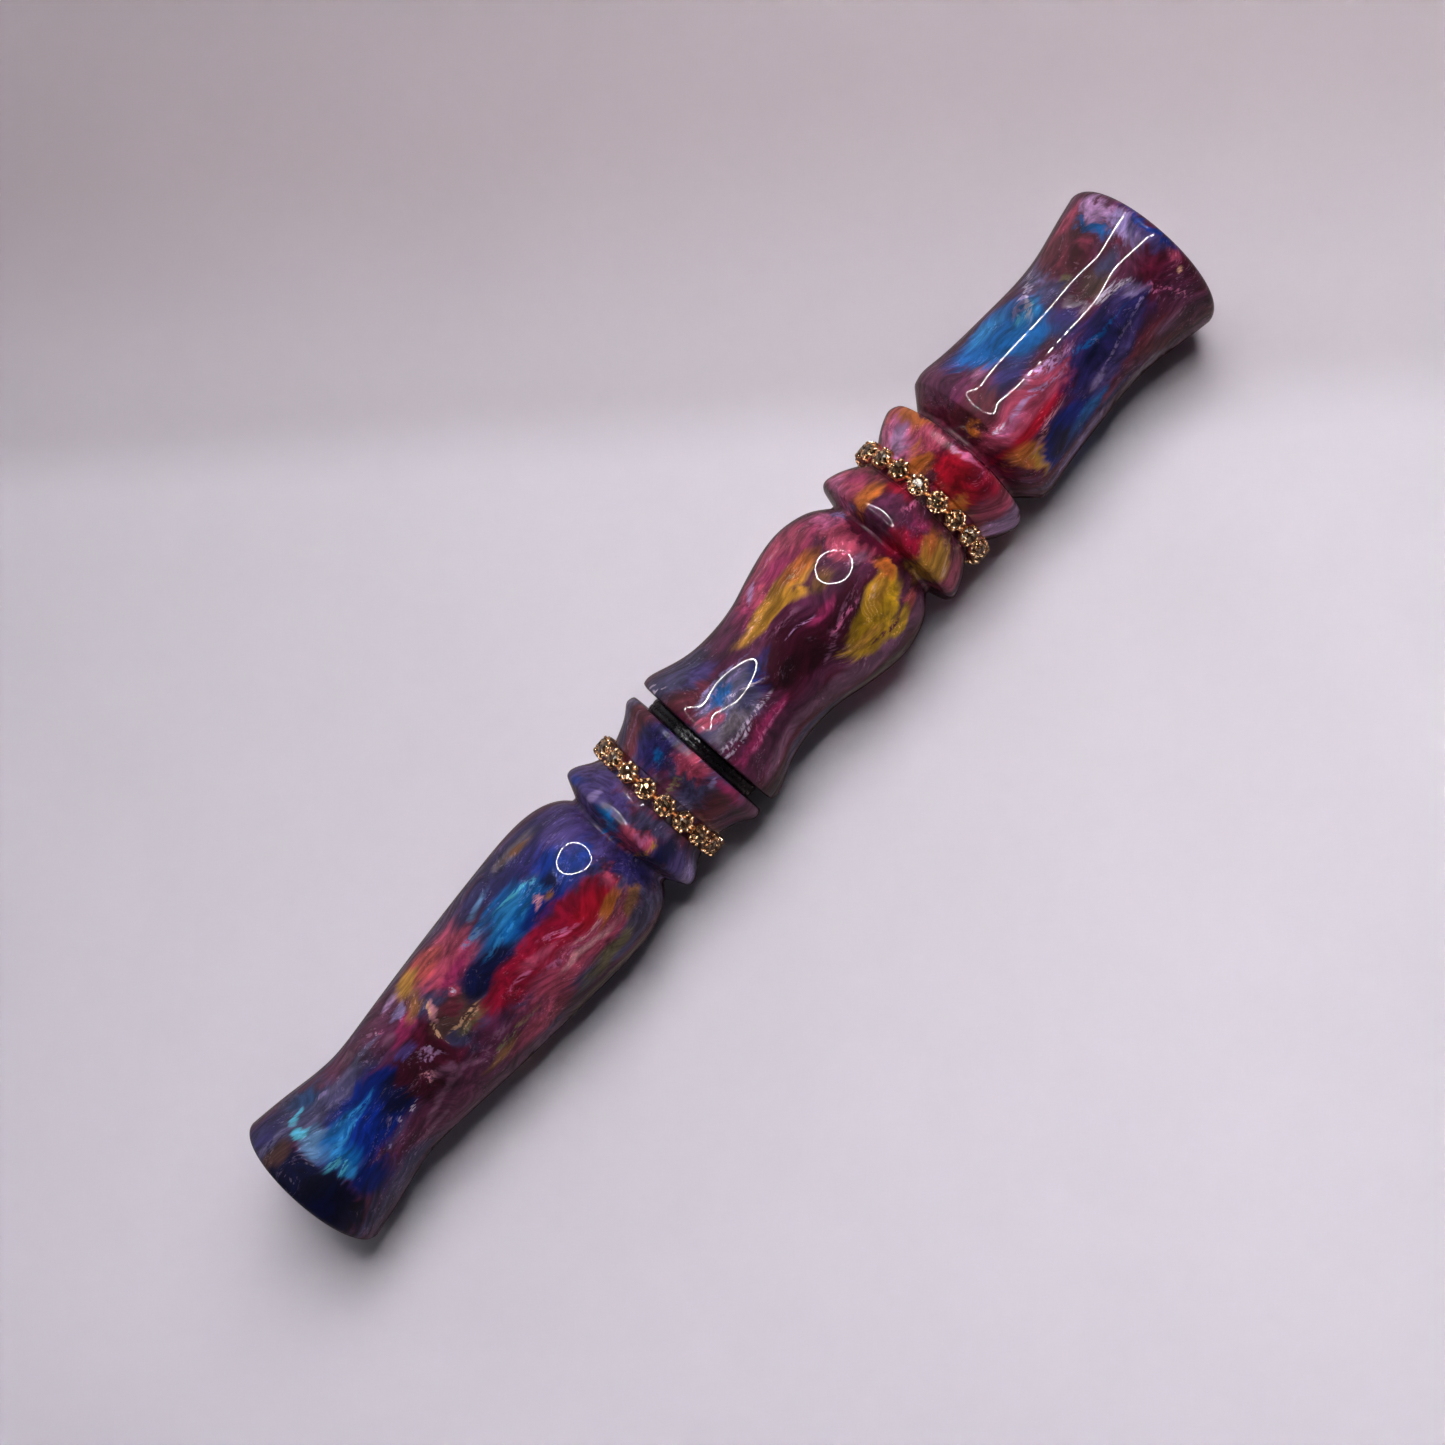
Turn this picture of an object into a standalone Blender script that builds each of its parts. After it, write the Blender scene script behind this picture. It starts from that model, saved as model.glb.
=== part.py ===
"""Duck call: a turned resin barrel and insert sealed by a rubber ring and two O-rings, with a tone
board, two reeds and a cork wedge inside, and a chain of stones in metal cups round each half.

The call lies on its side along +X, mouth end at +X. Dimensions are in millimetres, and "x" is the
distance from the exhaust end's face. Z in an outline is the height over the call's axis.
"""

import math

import bmesh
import bpy
from mathutils import Euler, Vector
from mathutils.geometry import interpolate_bezier

MM = 0.001

# Driving dimensions.
LENGTH = 165.3            # exhaust face to mouth face
RIM_R = 12.2              # mouth rim, the widest place, which the call lies on
SHOULDER_X = 76.4         # the insert's shoulder, where its tenon starts
BELL_X = 78.3             # the barrel's lower face
BORE_R = 6.35             # the barrel's half-inch bore
EXHAUST_R = 4.4           # the bore through the insert
TENON_R = 6.2
TENON_END_X = 94.4
FIT = 0.03                # gap between pieces that touch
CHAMFER = 0.5             # break on the edges of bores and on the tenon's tip
EXHAUST_LIP_R = 0.9
MOUTH_LIP_R = 1.4
LATHE_STEPS = 36
SPAN_STEPS = 4            # steps on each span of a smooth sweep, before it is thinned
SWEEP_ERROR = 0.03        # how far a thinned sweep may lie from the smooth one
ARC_STEPS = 3
O_RING_SIDES = 6

# Outer outlines as (x, radius). Each list is one smooth sweep between two crisp edges.
INSERT_BODY = [
    (0.9, 11.0), (6.6, 10.14), (10.4, 9.42), (14.3, 8.97), (19.8, 9.27), (26.4, 9.9), (39.6, 10.94),
    (46.2, 11.35), (51.3, 11.52), (56.1, 11.0), (58.6, 10.0), (60.0, 8.9), (60.7, 8.05),
]
INSERT_NECK = (61.3, 8.05)
INSERT_FLANGE = [
    (62.5, 10.45), (62.8, 10.85), (63.3, 11.0), (64.2, 10.77), (65.3, 10.1), (66.4, 9.4), (67.3, 9.05),
]
INSERT_COLLAR = [(70.3, 9.1), (72.9, 10.05), (74.4, 10.95), (75.3, 11.46), (76.1, 11.32)]
BARREL_BODY = [
    (78.5, 11.4), (79.0, 11.52), (80.6, 11.24), (82.0, 10.7), (85.0, 9.72), (89.0, 9.25),
    (91.7, 9.32), (94.4, 9.69), (97.0, 10.36), (99.8, 11.02), (102.2, 11.45), (105.2, 11.57),
    (108.1, 11.0), (109.8, 10.3), (111.1, 9.4), (112.2, 8.45),
]
BARREL_NECK = (112.8, 8.45)
BARREL_FLANGE = [
    (113.5, 10.85), (113.9, 11.3), (114.5, 11.44), (115.2, 11.3), (116.0, 11.03), (117.3, 10.4),
    (119.1, 9.3),
]
CROWN_FLANGE = [
    (122.5, 9.35), (124.2, 10.45), (126.1, 11.26), (126.8, 11.4), (127.5, 11.25), (128.1, 10.9),
]
CROWN_NECK = [(128.9, 8.42), (129.4, 8.42)]
MOUTHPIECE = [
    (131.9, 11.2), (133.3, 11.52), (138.6, 10.9), (145.2, 10.43), (150.5, 10.19), (155.1, 10.49),
    (158.4, 11.13), (161.0, 11.67), (LENGTH - MOUTH_LIP_R, RIM_R),
]
BELL_FACE_R = 10.8        # where the barrel's end face meets its outside
SHOULDER_R = 11.1         # where the insert's shoulder does
FLANGE_FOOT_R = 9.25      # where the barrel's flange meets its chain's groove

# Cup chains. Each lies in a groove with this centre and floor radius, by what it is on.
BANDS = {"insert": (68.8, 8.7), "barrel": (120.8, 8.95)}
BAND_WIDTH = 3.0
BAND_CLEARANCE = 0.08     # between the groove's floor and the cups, so the floor's flats are clear too
CUP_COUNT = 19
CUP_SIDES = 8
CUP_R = 1.42
CUP_WALL = 0.12
CUP_HEIGHT = 1.5
CUP_FLOOR = 0.7           # height of the seat inside a cup
LINK_WIDTH = 1.2
LINK_THICKNESS = 0.3
LINK_LIFT = 0.02          # the links lie this much higher than the cups' backs
STONE_R = 1.25
STONE_TABLE_R = 0.7
STONE_BASE_R = 0.8
STONE_HEIGHT = 1.22
GIRDLE = (0.5, 0.62)      # heights of the stone's widest part

# Seals.
RING_R = 8.85
RING_BORE_R = 6.3
RING_EDGE_R = 0.3
O_RING_X = {"rear_o_ring": 81.7, "front_o_ring": 89.2}
O_RING_WIRE_R = 0.42
O_RING_MIDDLE_R = 5.88
O_GROOVE_R = 5.42
O_GROOVE_WIDTH = 1.3

# Tone board: a plug in the tenon, a collar outside it and a tongue inside the barrel.
PLUG_R = 4.35
PLUG_START_X = 82.0
COLLAR_R = 6.1
COLLAR_END_X = 103.0
SLOT_START_X = 95.6       # the slot through the collar that holds the reeds and the cork
SLOT_R = 5.05
SLOT_WIDTH = 8.5
SLOT_TOP = 9.0            # over the slot's round, which is what closes it
TONGUE_END_X = 133.0
TONGUE_WIDTH = 9.0
TONGUE_R = 5.7
TONGUE_ROOT_DEPTH = 5.6
TONGUE_TIP_DEPTH = 3.0
RAMP = 0.03               # fall of the tongue's face under the reeds, per millimetre
RAMP_CURVE = 0.0004
RAMP_STEPS = 6
CHANNEL_WIDTH = 3.0
CHANNEL_DEPTH = 3.4
CHANNEL_START_X = 96.0
CHANNEL_END_X = 128.5
THROAT_SIDES = 24
THROAT_R = 1.9
THROAT_DROP = 2.0

# Reeds, and the cork wedge over them.
REED_WIDTH = 8.0
REED_START_X = 95.8
REED_ENDS_X = {"bottom_reed": 131.5, "top_reed": 130.2}
REED_THICKNESS = 0.3
REED_TIP_CORNER = 2.2
CORK_END_X = 103.4
CORK_TOP = 6.0            # over the round that shapes its top
CORK_RELIEF = 0.3         # the cork's underside is this much higher at its back
HINGE_X = 103.0
PAST = 1.0                # how far a cutter runs on past what it cuts

AXIS_START = Vector((-LENGTH * MM / 2, 0.0, RIM_R * MM))     # centre of the exhaust face


def clear_scene():
    for thing in list(bpy.data.objects):
        bpy.data.objects.remove(thing, do_unlink=True)


def new_collection(name):
    made = bpy.data.collections.new(name)
    bpy.context.scene.collection.children.link(made)
    return made


def new_material(name, colour, roughness, metallic=0.0):
    made = bpy.data.materials.new(name)
    made.use_nodes = True
    shader = made.node_tree.nodes["Principled BSDF"]
    shader.inputs["Base Color"].default_value = (*colour, 1.0)
    shader.inputs["Roughness"].default_value = roughness
    shader.inputs["Metallic"].default_value = metallic
    return made


def on_axis(x, height=0.0):
    """World place of a point at x, this high over the call's axis."""
    return AXIS_START + Vector((x * MM, 0.0, height * MM))


def add_part(name, mesh, finish, parent, place=(0, 0, 0), turn=(0, 0, 0)):
    """A named piece. place and turn are in the world, and the parents only move, so none turns it."""
    made = bpy.data.objects.new(name, mesh)
    PARTS.objects.link(made)
    if not mesh.materials:
        mesh.materials.append(finish)
    made.parent = parent
    made.location = Vector(place) - parent.location
    made.rotation_euler = turn
    return made


def add_cutter(name, mesh):
    made = bpy.data.objects.new(name, mesh)
    CUTTERS.objects.link(made)
    made.hide_render = True
    made.display_type = "WIRE"
    return made


def add_boolean(thing, tool, operation):
    boolean = thing.modifiers.new(tool.name, "BOOLEAN")
    boolean.operation = operation
    boolean.solver = "EXACT"
    boolean.object = tool


def smooth_sweep(points):
    """A smooth curve through the points, as a list of vectors."""
    knots = [Vector(point) for point in points]
    spans = [(b - a).length for a, b in zip(knots, knots[1:])]
    slopes = [(knots[1] - knots[0]) / spans[0]]
    for i in range(1, len(knots) - 1):
        slopes.append((knots[i + 1] - knots[i - 1]) / (spans[i - 1] + spans[i]))
    slopes.append((knots[-1] - knots[-2]) / spans[-1])
    made = []
    for i, span in enumerate(spans):
        reach = span / 3
        made += interpolate_bezier(
            knots[i], knots[i] + slopes[i] * reach, knots[i + 1] - slopes[i + 1] * reach, knots[i + 1],
            SPAN_STEPS + 1,
        )[:-1]
    return thinned([(p.x, p.y) for p in made] + [tuple(knots[-1])])


def thinned(points):
    """The outline without the points that lie within SWEEP_ERROR of the line between the others."""
    if len(points) < 3:
        return points
    start, end = Vector(points[0]), Vector(points[-1])
    along = (end - start).normalized()
    offsets = [abs(along.cross(Vector(point) - start)) for point in points]
    furthest = offsets.index(max(offsets))
    if offsets[furthest] < SWEEP_ERROR:
        return [points[0], points[-1]]
    return thinned(points[:furthest + 1])[:-1] + thinned(points[furthest:])


def quarter(centre_x, centre_r, radius, start):
    """A quarter turn of a rounded edge, from this angle in degrees, clockwise."""
    made = []
    for step in range(ARC_STEPS + 1):
        angle = math.radians(start - 90 * step / ARC_STEPS)
        made.append((centre_x + radius * math.cos(angle), centre_r + radius * math.sin(angle)))
    return made


def turned_mesh(name, outside, inside=(), steps=LATHE_STEPS):
    """A turned solid about local Z. outside runs up Z as (z, radius), and inside, if any, down it.
    With no inside, the outline starts and ends on the axis."""
    outline = [*outside, *inside][::-1]
    shape = bmesh.new()
    made = [shape.verts.new((r * MM, 0.0, z * MM)) for z, r in outline]
    for a, b in zip(made, made[1:]):
        shape.edges.new((a, b))
    if inside:
        shape.edges.new((made[-1], made[0]))
    mesh = bpy.data.meshes.new(name)
    shape.to_mesh(mesh)
    shape.free()
    holder = bpy.data.objects.new(name, mesh)
    CUTTERS.objects.link(holder)
    screw = holder.modifiers.new("turn", "SCREW")
    screw.axis = "Z"
    screw.steps = steps
    screw.render_steps = steps
    screw.use_merge_vertices = True
    screw.merge_threshold = 0.00001
    screw.use_smooth_shade = True
    bpy.context.view_layer.update()
    solid = bpy.data.meshes.new_from_object(holder.evaluated_get(bpy.context.evaluated_depsgraph_get()))
    bpy.data.objects.remove(holder)
    solid.name = name
    solid.set_sharp_from_angle(angle=math.radians(35))
    return solid


def cylinder_mesh(name, start_x, end_x, radius, steps=LATHE_STEPS):
    """A cylinder along world X, about the origin's X axis."""
    shape = bmesh.new()
    bmesh.ops.create_cone(
        shape, cap_ends=True, segments=steps, radius1=radius * MM, radius2=radius * MM,
        depth=(end_x - start_x) * MM,
    )
    bmesh.ops.rotate(shape, verts=shape.verts, matrix=Euler((0, math.pi / 2, 0)).to_matrix())
    bmesh.ops.translate(shape, verts=shape.verts, vec=((start_x + end_x) / 2 * MM, 0, 0))
    mesh = bpy.data.meshes.new(name)
    shape.to_mesh(mesh)
    shape.free()
    mesh.shade_smooth()
    mesh.set_sharp_from_angle(angle=math.radians(35))
    return mesh


def box_mesh(name, low, high):
    shape = bmesh.new()
    bmesh.ops.create_cube(shape, size=1.0)
    low, high = Vector(low) * MM, Vector(high) * MM
    bmesh.ops.scale(shape, verts=shape.verts, vec=high - low)
    bmesh.ops.translate(shape, verts=shape.verts, vec=(low + high) / 2)
    mesh = bpy.data.meshes.new(name)
    shape.to_mesh(mesh)
    shape.free()
    return mesh


def plate_mesh(name, outline, thickness, upright=False):
    """A flat outline made thick: (x, y) from z = 0 up, or (x, z) about y = 0 where it is upright."""
    shape = bmesh.new()
    corners = []
    for a, b in outline:
        place = (a, thickness / 2, b) if upright else (a, b, 0)
        corners.append(shape.verts.new(Vector(place) * MM))
    face = shape.faces.new(corners)
    push = Vector((0, -thickness, 0)) if upright else Vector((0, 0, thickness))
    pushed = bmesh.ops.extrude_face_region(shape, geom=[face], use_keep_orig=True)["geom"]
    moved = [v for v in pushed if isinstance(v, bmesh.types.BMVert)]
    bmesh.ops.translate(shape, verts=moved, vec=push * MM)
    bmesh.ops.recalc_face_normals(shape, faces=shape.faces)
    mesh = bpy.data.meshes.new(name)
    shape.to_mesh(mesh)
    shape.free()
    return mesh


def add_body(name, place):
    """An empty that carries the pieces that move together, with its origin on their joint's axis."""
    empty = bpy.data.objects.new(name, None)
    empty.location = place
    PARTS.objects.link(empty)
    return empty


def groove_edges(band):
    middle, _ = BANDS[band]
    return middle - BAND_WIDTH / 2, middle + BAND_WIDTH / 2


def make_barrel(parent):
    start, end = groove_edges("barrel")
    floor = BANDS["barrel"][1]
    outside = [
        (BELL_X, BELL_FACE_R), *smooth_sweep(BARREL_BODY), BARREL_NECK, *smooth_sweep(BARREL_FLANGE),
        (start, FLANGE_FOOT_R), (start, floor), (end, floor), *smooth_sweep(CROWN_FLANGE), *CROWN_NECK,
        *smooth_sweep(MOUTHPIECE),
        *quarter(LENGTH - MOUTH_LIP_R, RIM_R - MOUTH_LIP_R, MOUTH_LIP_R, 90)[1:],
    ]
    bore = [
        (LENGTH, BORE_R + CHAMFER), (LENGTH - CHAMFER, BORE_R), (BELL_X + CHAMFER, BORE_R),
        (BELL_X, BORE_R + CHAMFER),
    ]
    resin = new_material("barrel_resin", (0.55, 0.10, 0.24), 0.08)
    mesh = turned_mesh("barrel", outside, bore)
    return add_part("barrel", mesh, resin, parent, AXIS_START, (0, math.pi / 2, 0))


def o_groove(middle):
    half = O_GROOVE_WIDTH / 2
    return [
        (middle - half, TENON_R), (middle - half, O_GROOVE_R), (middle + half, O_GROOVE_R),
        (middle + half, TENON_R),
    ]


def make_insert(parent):
    start, end = groove_edges("insert")
    floor = BANDS["insert"][1]
    outside = [
        *quarter(EXHAUST_LIP_R, INSERT_BODY[0][1] - EXHAUST_LIP_R, EXHAUST_LIP_R, 180)[:-1],
        *smooth_sweep(INSERT_BODY), INSERT_NECK, *smooth_sweep(INSERT_FLANGE),
        (start, floor), (end, floor), *smooth_sweep(INSERT_COLLAR), (SHOULDER_X, SHOULDER_R),
        (SHOULDER_X, TENON_R), *o_groove(O_RING_X["rear_o_ring"]), *o_groove(O_RING_X["front_o_ring"]),
        (TENON_END_X - CHAMFER, TENON_R), (TENON_END_X, TENON_R - CHAMFER),
    ]
    bore = [(TENON_END_X, EXHAUST_R), (CHAMFER, EXHAUST_R), (0.0, EXHAUST_R + CHAMFER)]
    resin = new_material("insert_resin", (0.12, 0.13, 0.45), 0.08)
    mesh = turned_mesh("insert", outside, bore)
    return add_part("insert", mesh, resin, parent, AXIS_START, (0, math.pi / 2, 0))


def make_joint_ring(parent, rubber):
    low, high = SHOULDER_X + FIT, BELL_X - FIT
    inner = RING_R - RING_EDGE_R
    outside = [
        *quarter(low + RING_EDGE_R, inner, RING_EDGE_R, 180),
        *quarter(high - RING_EDGE_R, inner, RING_EDGE_R, 90),
    ]
    mesh = turned_mesh("joint_ring", outside, [(high, RING_BORE_R), (low, RING_BORE_R)])
    add_part("joint_ring", mesh, rubber, parent, AXIS_START, (0, math.pi / 2, 0))


def make_o_rings(parent, rubber):
    for name, x in O_RING_X.items():
        bpy.ops.mesh.primitive_torus_add(
            major_segments=LATHE_STEPS, minor_segments=O_RING_SIDES, major_radius=O_RING_MIDDLE_R * MM,
            minor_radius=O_RING_WIRE_R * MM,
        )
        ring = bpy.context.active_object
        mesh = ring.data
        bpy.data.objects.remove(ring)
        mesh.shade_smooth()
        add_part(name, mesh, rubber, parent, on_axis(x), (0, math.pi / 2, 0))


def cup_mesh():
    """One cup about local Z, its back at z = 0 and its seat open upwards."""
    outside = [(0.0, 0.0), (0.0, CUP_R), (CUP_HEIGHT, CUP_R)]
    seat = [(CUP_HEIGHT, CUP_R - CUP_WALL), (CUP_FLOOR, CUP_R - CUP_WALL), (CUP_FLOOR, 0.0)]
    return turned_mesh("cup", outside + seat, steps=CUP_SIDES)


def stone_mesh():
    """One round stone about local Z, cut with eight facets over and under its girdle."""
    outline = [
        (0.0, 0.0), (0.0, STONE_BASE_R), (GIRDLE[0], STONE_R), (GIRDLE[1], STONE_R),
        (STONE_HEIGHT, STONE_TABLE_R), (STONE_HEIGHT, 0.0),
    ]
    mesh = turned_mesh("stone", outline, steps=CUP_SIDES)
    mesh.shade_flat()
    return mesh


def cup_turn(number):
    """Rotation about the call's axis that brings the top of the groove to this cup."""
    return Euler((2 * math.pi * number / CUP_COUNT, 0, 0))


def make_band(on, parent, metal, glass_mesh, glass):
    """The chain round one half, which is one piece of metal, and its stones."""
    middle, floor = BANDS[on]
    back = floor + BAND_CLEARANCE
    shape = bmesh.new()
    cup = cup_mesh()
    for number in range(CUP_COUNT):
        first = len(shape.verts)
        shape.from_mesh(cup)
        shape.verts.ensure_lookup_table()
        new = shape.verts[first:]
        bmesh.ops.rotate(shape, verts=new, matrix=Euler((0, 0, math.pi / CUP_SIDES)).to_matrix())
        bmesh.ops.translate(shape, verts=new, vec=(0, 0, back * MM))
        bmesh.ops.rotate(shape, verts=new, matrix=cup_turn(number).to_matrix())
    cups = bpy.data.meshes.new(on + "_cups")
    shape.to_mesh(cups)
    shape.free()
    links = turned_mesh(
        on + "_links",
        [(-LINK_WIDTH / 2, back + LINK_THICKNESS), (LINK_WIDTH / 2, back + LINK_THICKNESS)],
        [(LINK_WIDTH / 2, back + LINK_LIFT), (-LINK_WIDTH / 2, back + LINK_LIFT)],
        steps=2 * CUP_COUNT,
    )
    links.transform(Euler((0, math.pi / 2, 0)).to_matrix().to_4x4())
    band = add_part(on + "_band", links, metal, parent, on_axis(middle))
    tool = add_cutter(on + "_cups", cups)
    tool.location = on_axis(middle)
    add_boolean(band, tool, "UNION")
    for number in range(CUP_COUNT):
        turn = cup_turn(number)
        seat = Vector((0, 0, (back + CUP_FLOOR + FIT) * MM))
        seat.rotate(turn)
        name = f"{on}_stone_{number + 1:02d}"
        # The stone's corners follow the cup's, an eighth of a turn's half round from its own X.
        turned = turn.to_matrix() @ Euler((0, 0, math.pi / CUP_SIDES)).to_matrix()
        add_part(name, glass_mesh, glass, parent, on_axis(middle) + seat, turned.to_euler())


def tongue_outline():
    """Side view of the tongue: its face falls away under the reeds towards the tip."""
    length = TONGUE_END_X - COLLAR_END_X
    face = []
    for step in range(RAMP_STEPS + 1):
        along = length * step / RAMP_STEPS
        face.append((COLLAR_END_X + along, -RAMP * along - RAMP_CURVE * along ** 2))
    root = COLLAR_END_X - 2 * PAST
    return [
        (root, 0.0), *face, (TONGUE_END_X, -TONGUE_TIP_DEPTH), (COLLAR_END_X, -TONGUE_ROOT_DEPTH),
        (root, -TONGUE_ROOT_DEPTH),
    ]


def add_slot():
    """The D of the collar's slot: the top half of a cylinder, cut to a width."""
    end = COLLAR_END_X + PAST
    slot = add_cutter("slot", cylinder_mesh("slot", SLOT_START_X, end, SLOT_R))
    box = add_cutter("slot_box", box_mesh(
        "slot_box", (SLOT_START_X - PAST, -SLOT_WIDTH / 2, 0.0), (end + PAST, SLOT_WIDTH / 2, SLOT_TOP)))
    box.location = AXIS_START
    add_boolean(slot, box, "INTERSECT")
    return slot


def make_tone_board(parent):
    plastic = new_material("tone_board_plastic", (0.05, 0.05, 0.07), 0.25)
    collar = cylinder_mesh("tone_board", TENON_END_X + FIT, COLLAR_END_X, COLLAR_R)
    board = add_part("tone_board", collar, plastic, parent, AXIS_START)
    tongue = add_cutter("tongue", plate_mesh("tongue", tongue_outline(), TONGUE_WIDTH, upright=True))
    tongue_round = add_cutter(
        "tongue_round",
        cylinder_mesh("tongue_round", COLLAR_END_X - 3 * PAST, TONGUE_END_X + PAST, TONGUE_R))
    add_boolean(tongue, tongue_round, "INTERSECT")
    plug = add_cutter("plug", cylinder_mesh("plug", PLUG_START_X, TENON_END_X + PAST, PLUG_R))
    slot = add_slot()
    throat = add_cutter("throat", cylinder_mesh(
        "throat", PLUG_START_X - PAST, SLOT_START_X + 2 * PAST, THROAT_R, THROAT_SIDES))
    channel = add_cutter("channel", box_mesh(
        "channel", (CHANNEL_START_X, -CHANNEL_WIDTH / 2, -CHANNEL_DEPTH),
        (CHANNEL_END_X, CHANNEL_WIDTH / 2, PAST)))
    for tool in (tongue, tongue_round, plug, slot, throat, channel):
        tool.location = AXIS_START
    throat.location = on_axis(0, -THROAT_DROP)
    add_boolean(board, plug, "UNION")
    add_boolean(board, tongue, "UNION")
    add_boolean(board, slot, "DIFFERENCE")
    add_boolean(board, throat, "DIFFERENCE")
    add_boolean(board, channel, "DIFFERENCE")


def reed_outline(end_x):
    half, corner = REED_WIDTH / 2, REED_TIP_CORNER
    tip = [(end_x - HINGE_X - corner + x, half - corner + y) for x, y in quarter(0, 0, corner, 90)]
    back = REED_START_X - HINGE_X
    return [(back, half), *tip, *[(x, -y) for x, y in tip[::-1]], (back, -half)]


def make_reeds(parent):
    film = new_material("reed_film", (0.80, 0.82, 0.84), 0.3)
    for level, (name, end_x) in enumerate(REED_ENDS_X.items()):
        mesh = plate_mesh(name, reed_outline(end_x), REED_THICKNESS)
        height = FIT + level * (REED_THICKNESS + FIT)
        add_part(name, mesh, film, parent, on_axis(HINGE_X, height))


def make_cork(parent):
    """A wedge with the slot's round top. Its underside rises towards the reeds' back ends."""
    cork = new_material("cork", (0.55, 0.36, 0.19), 0.9)
    reeds_top = 2 * (REED_THICKNESS + FIT) + FIT
    start = SLOT_START_X + FIT
    outline = [
        (start, reeds_top + CORK_RELIEF), (start, CORK_TOP), (CORK_END_X, CORK_TOP),
        (CORK_END_X, reeds_top),
    ]
    mesh = plate_mesh("cork_wedge", outline, SLOT_WIDTH - 2 * FIT, upright=True)
    wedge = add_part("cork_wedge", mesh, cork, parent, AXIS_START)
    arch = add_cutter("arch", cylinder_mesh("arch", start - PAST, CORK_END_X + PAST, SLOT_R - FIT))
    arch.location = AXIS_START
    add_boolean(wedge, arch, "INTERSECT")


def main():
    rubber = new_material("black_rubber", (0.012, 0.012, 0.014), 0.5)
    metal = new_material("rose_gold", (0.83, 0.50, 0.27), 0.25, metallic=1.0)
    glass = new_material("champagne_glass", (0.72, 0.56, 0.38), 0.05)
    stones = stone_mesh()
    barrel_body = add_body("barrel_body", on_axis(LENGTH))
    ring_body = add_body("joint_ring_body", on_axis(SHOULDER_X))
    insert_body = add_body("insert_body", on_axis(SHOULDER_X))
    reed_body = add_body("reed_body", on_axis(HINGE_X, FIT))
    make_barrel(barrel_body)
    make_band("barrel", barrel_body, metal, stones, glass)
    make_joint_ring(ring_body, rubber)
    make_insert(insert_body)
    make_band("insert", insert_body, metal, stones, glass)
    make_o_rings(insert_body, rubber)
    make_tone_board(insert_body)
    make_cork(insert_body)
    make_reeds(reed_body)


clear_scene()
PARTS = new_collection("duck_call")
CUTTERS = new_collection("cutters")
main()
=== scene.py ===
"""Looks for the duck call: swirled pearl resin, stone chains, seals, tone board, light and camera.

The call lies along +X. Outlines and paint are laid out as in the CAD model: millimetres from the
exhaust face along the axis, and degrees round it, counted from the side that faces the camera.
"""

import math
import random

import bmesh
import bpy
from mathutils import Euler, Matrix, Vector
from mathutils.geometry import interpolate_bezier


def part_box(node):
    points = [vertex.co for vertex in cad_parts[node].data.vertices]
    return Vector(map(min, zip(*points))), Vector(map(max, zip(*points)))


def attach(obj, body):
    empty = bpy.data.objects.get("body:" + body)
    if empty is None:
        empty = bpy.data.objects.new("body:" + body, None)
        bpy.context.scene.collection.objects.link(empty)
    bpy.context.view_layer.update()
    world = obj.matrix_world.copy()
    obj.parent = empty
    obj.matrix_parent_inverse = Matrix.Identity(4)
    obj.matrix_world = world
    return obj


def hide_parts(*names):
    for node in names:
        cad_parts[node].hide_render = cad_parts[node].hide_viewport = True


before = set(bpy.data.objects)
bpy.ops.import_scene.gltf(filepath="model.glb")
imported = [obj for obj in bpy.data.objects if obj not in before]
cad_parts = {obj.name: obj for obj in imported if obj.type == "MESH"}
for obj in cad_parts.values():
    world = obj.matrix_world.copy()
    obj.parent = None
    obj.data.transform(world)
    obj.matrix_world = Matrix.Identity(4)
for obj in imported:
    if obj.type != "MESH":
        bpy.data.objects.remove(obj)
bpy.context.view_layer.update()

MM = 0.001
LOW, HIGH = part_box("barrel")
AXIS_Z = (LOW.z + HIGH.z) / 2
START_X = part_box("insert")[0].x
END_X = HIGH.x
LENGTH = (END_X - START_X) / MM
RIM_R = (HIGH.z - LOW.z) / 2 / MM
MIDDLE = Vector(((START_X + END_X) / 2, 0.0, AXIS_Z))

# ---- outlines, as (mm from the exhaust face, radius in mm) ----

SHOULDER_X, BELL_X, TENON_END_X = 76.4, 78.3, 94.4
SHOULDER_R, BELL_FACE_R, FLANGE_FOOT_R = 11.1, 10.8, 9.25
BORE_R, EXHAUST_R, TENON_R = 6.35, 4.4, 6.2
O_RING_X = {"rear_o_ring": 81.7, "front_o_ring": 89.2}
O_GROOVE_R, O_GROOVE_HALF = 5.42, 0.65
O_RING_MIDDLE_R, O_RING_WIRE_R = 5.88, 0.42
JOINT_RING_R, JOINT_RING_BORE_R, JOINT_RING_EDGE_R = 8.85, 6.3, 0.35
CREASE_HALF, CREASE_DEPTH = 0.2, 0.13       # round the middle of the rubber ring
JOINT_GAP = 0.03            # on each side of the rubber ring
EXHAUST_LIP_R, MOUTH_LIP_R = 0.9, 1.4
CHAMFER = 0.5               # of the bores' mouths and the tenon's end
CHAIN_CLEARANCE = 0.1       # between a groove's floor and its chain

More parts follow.
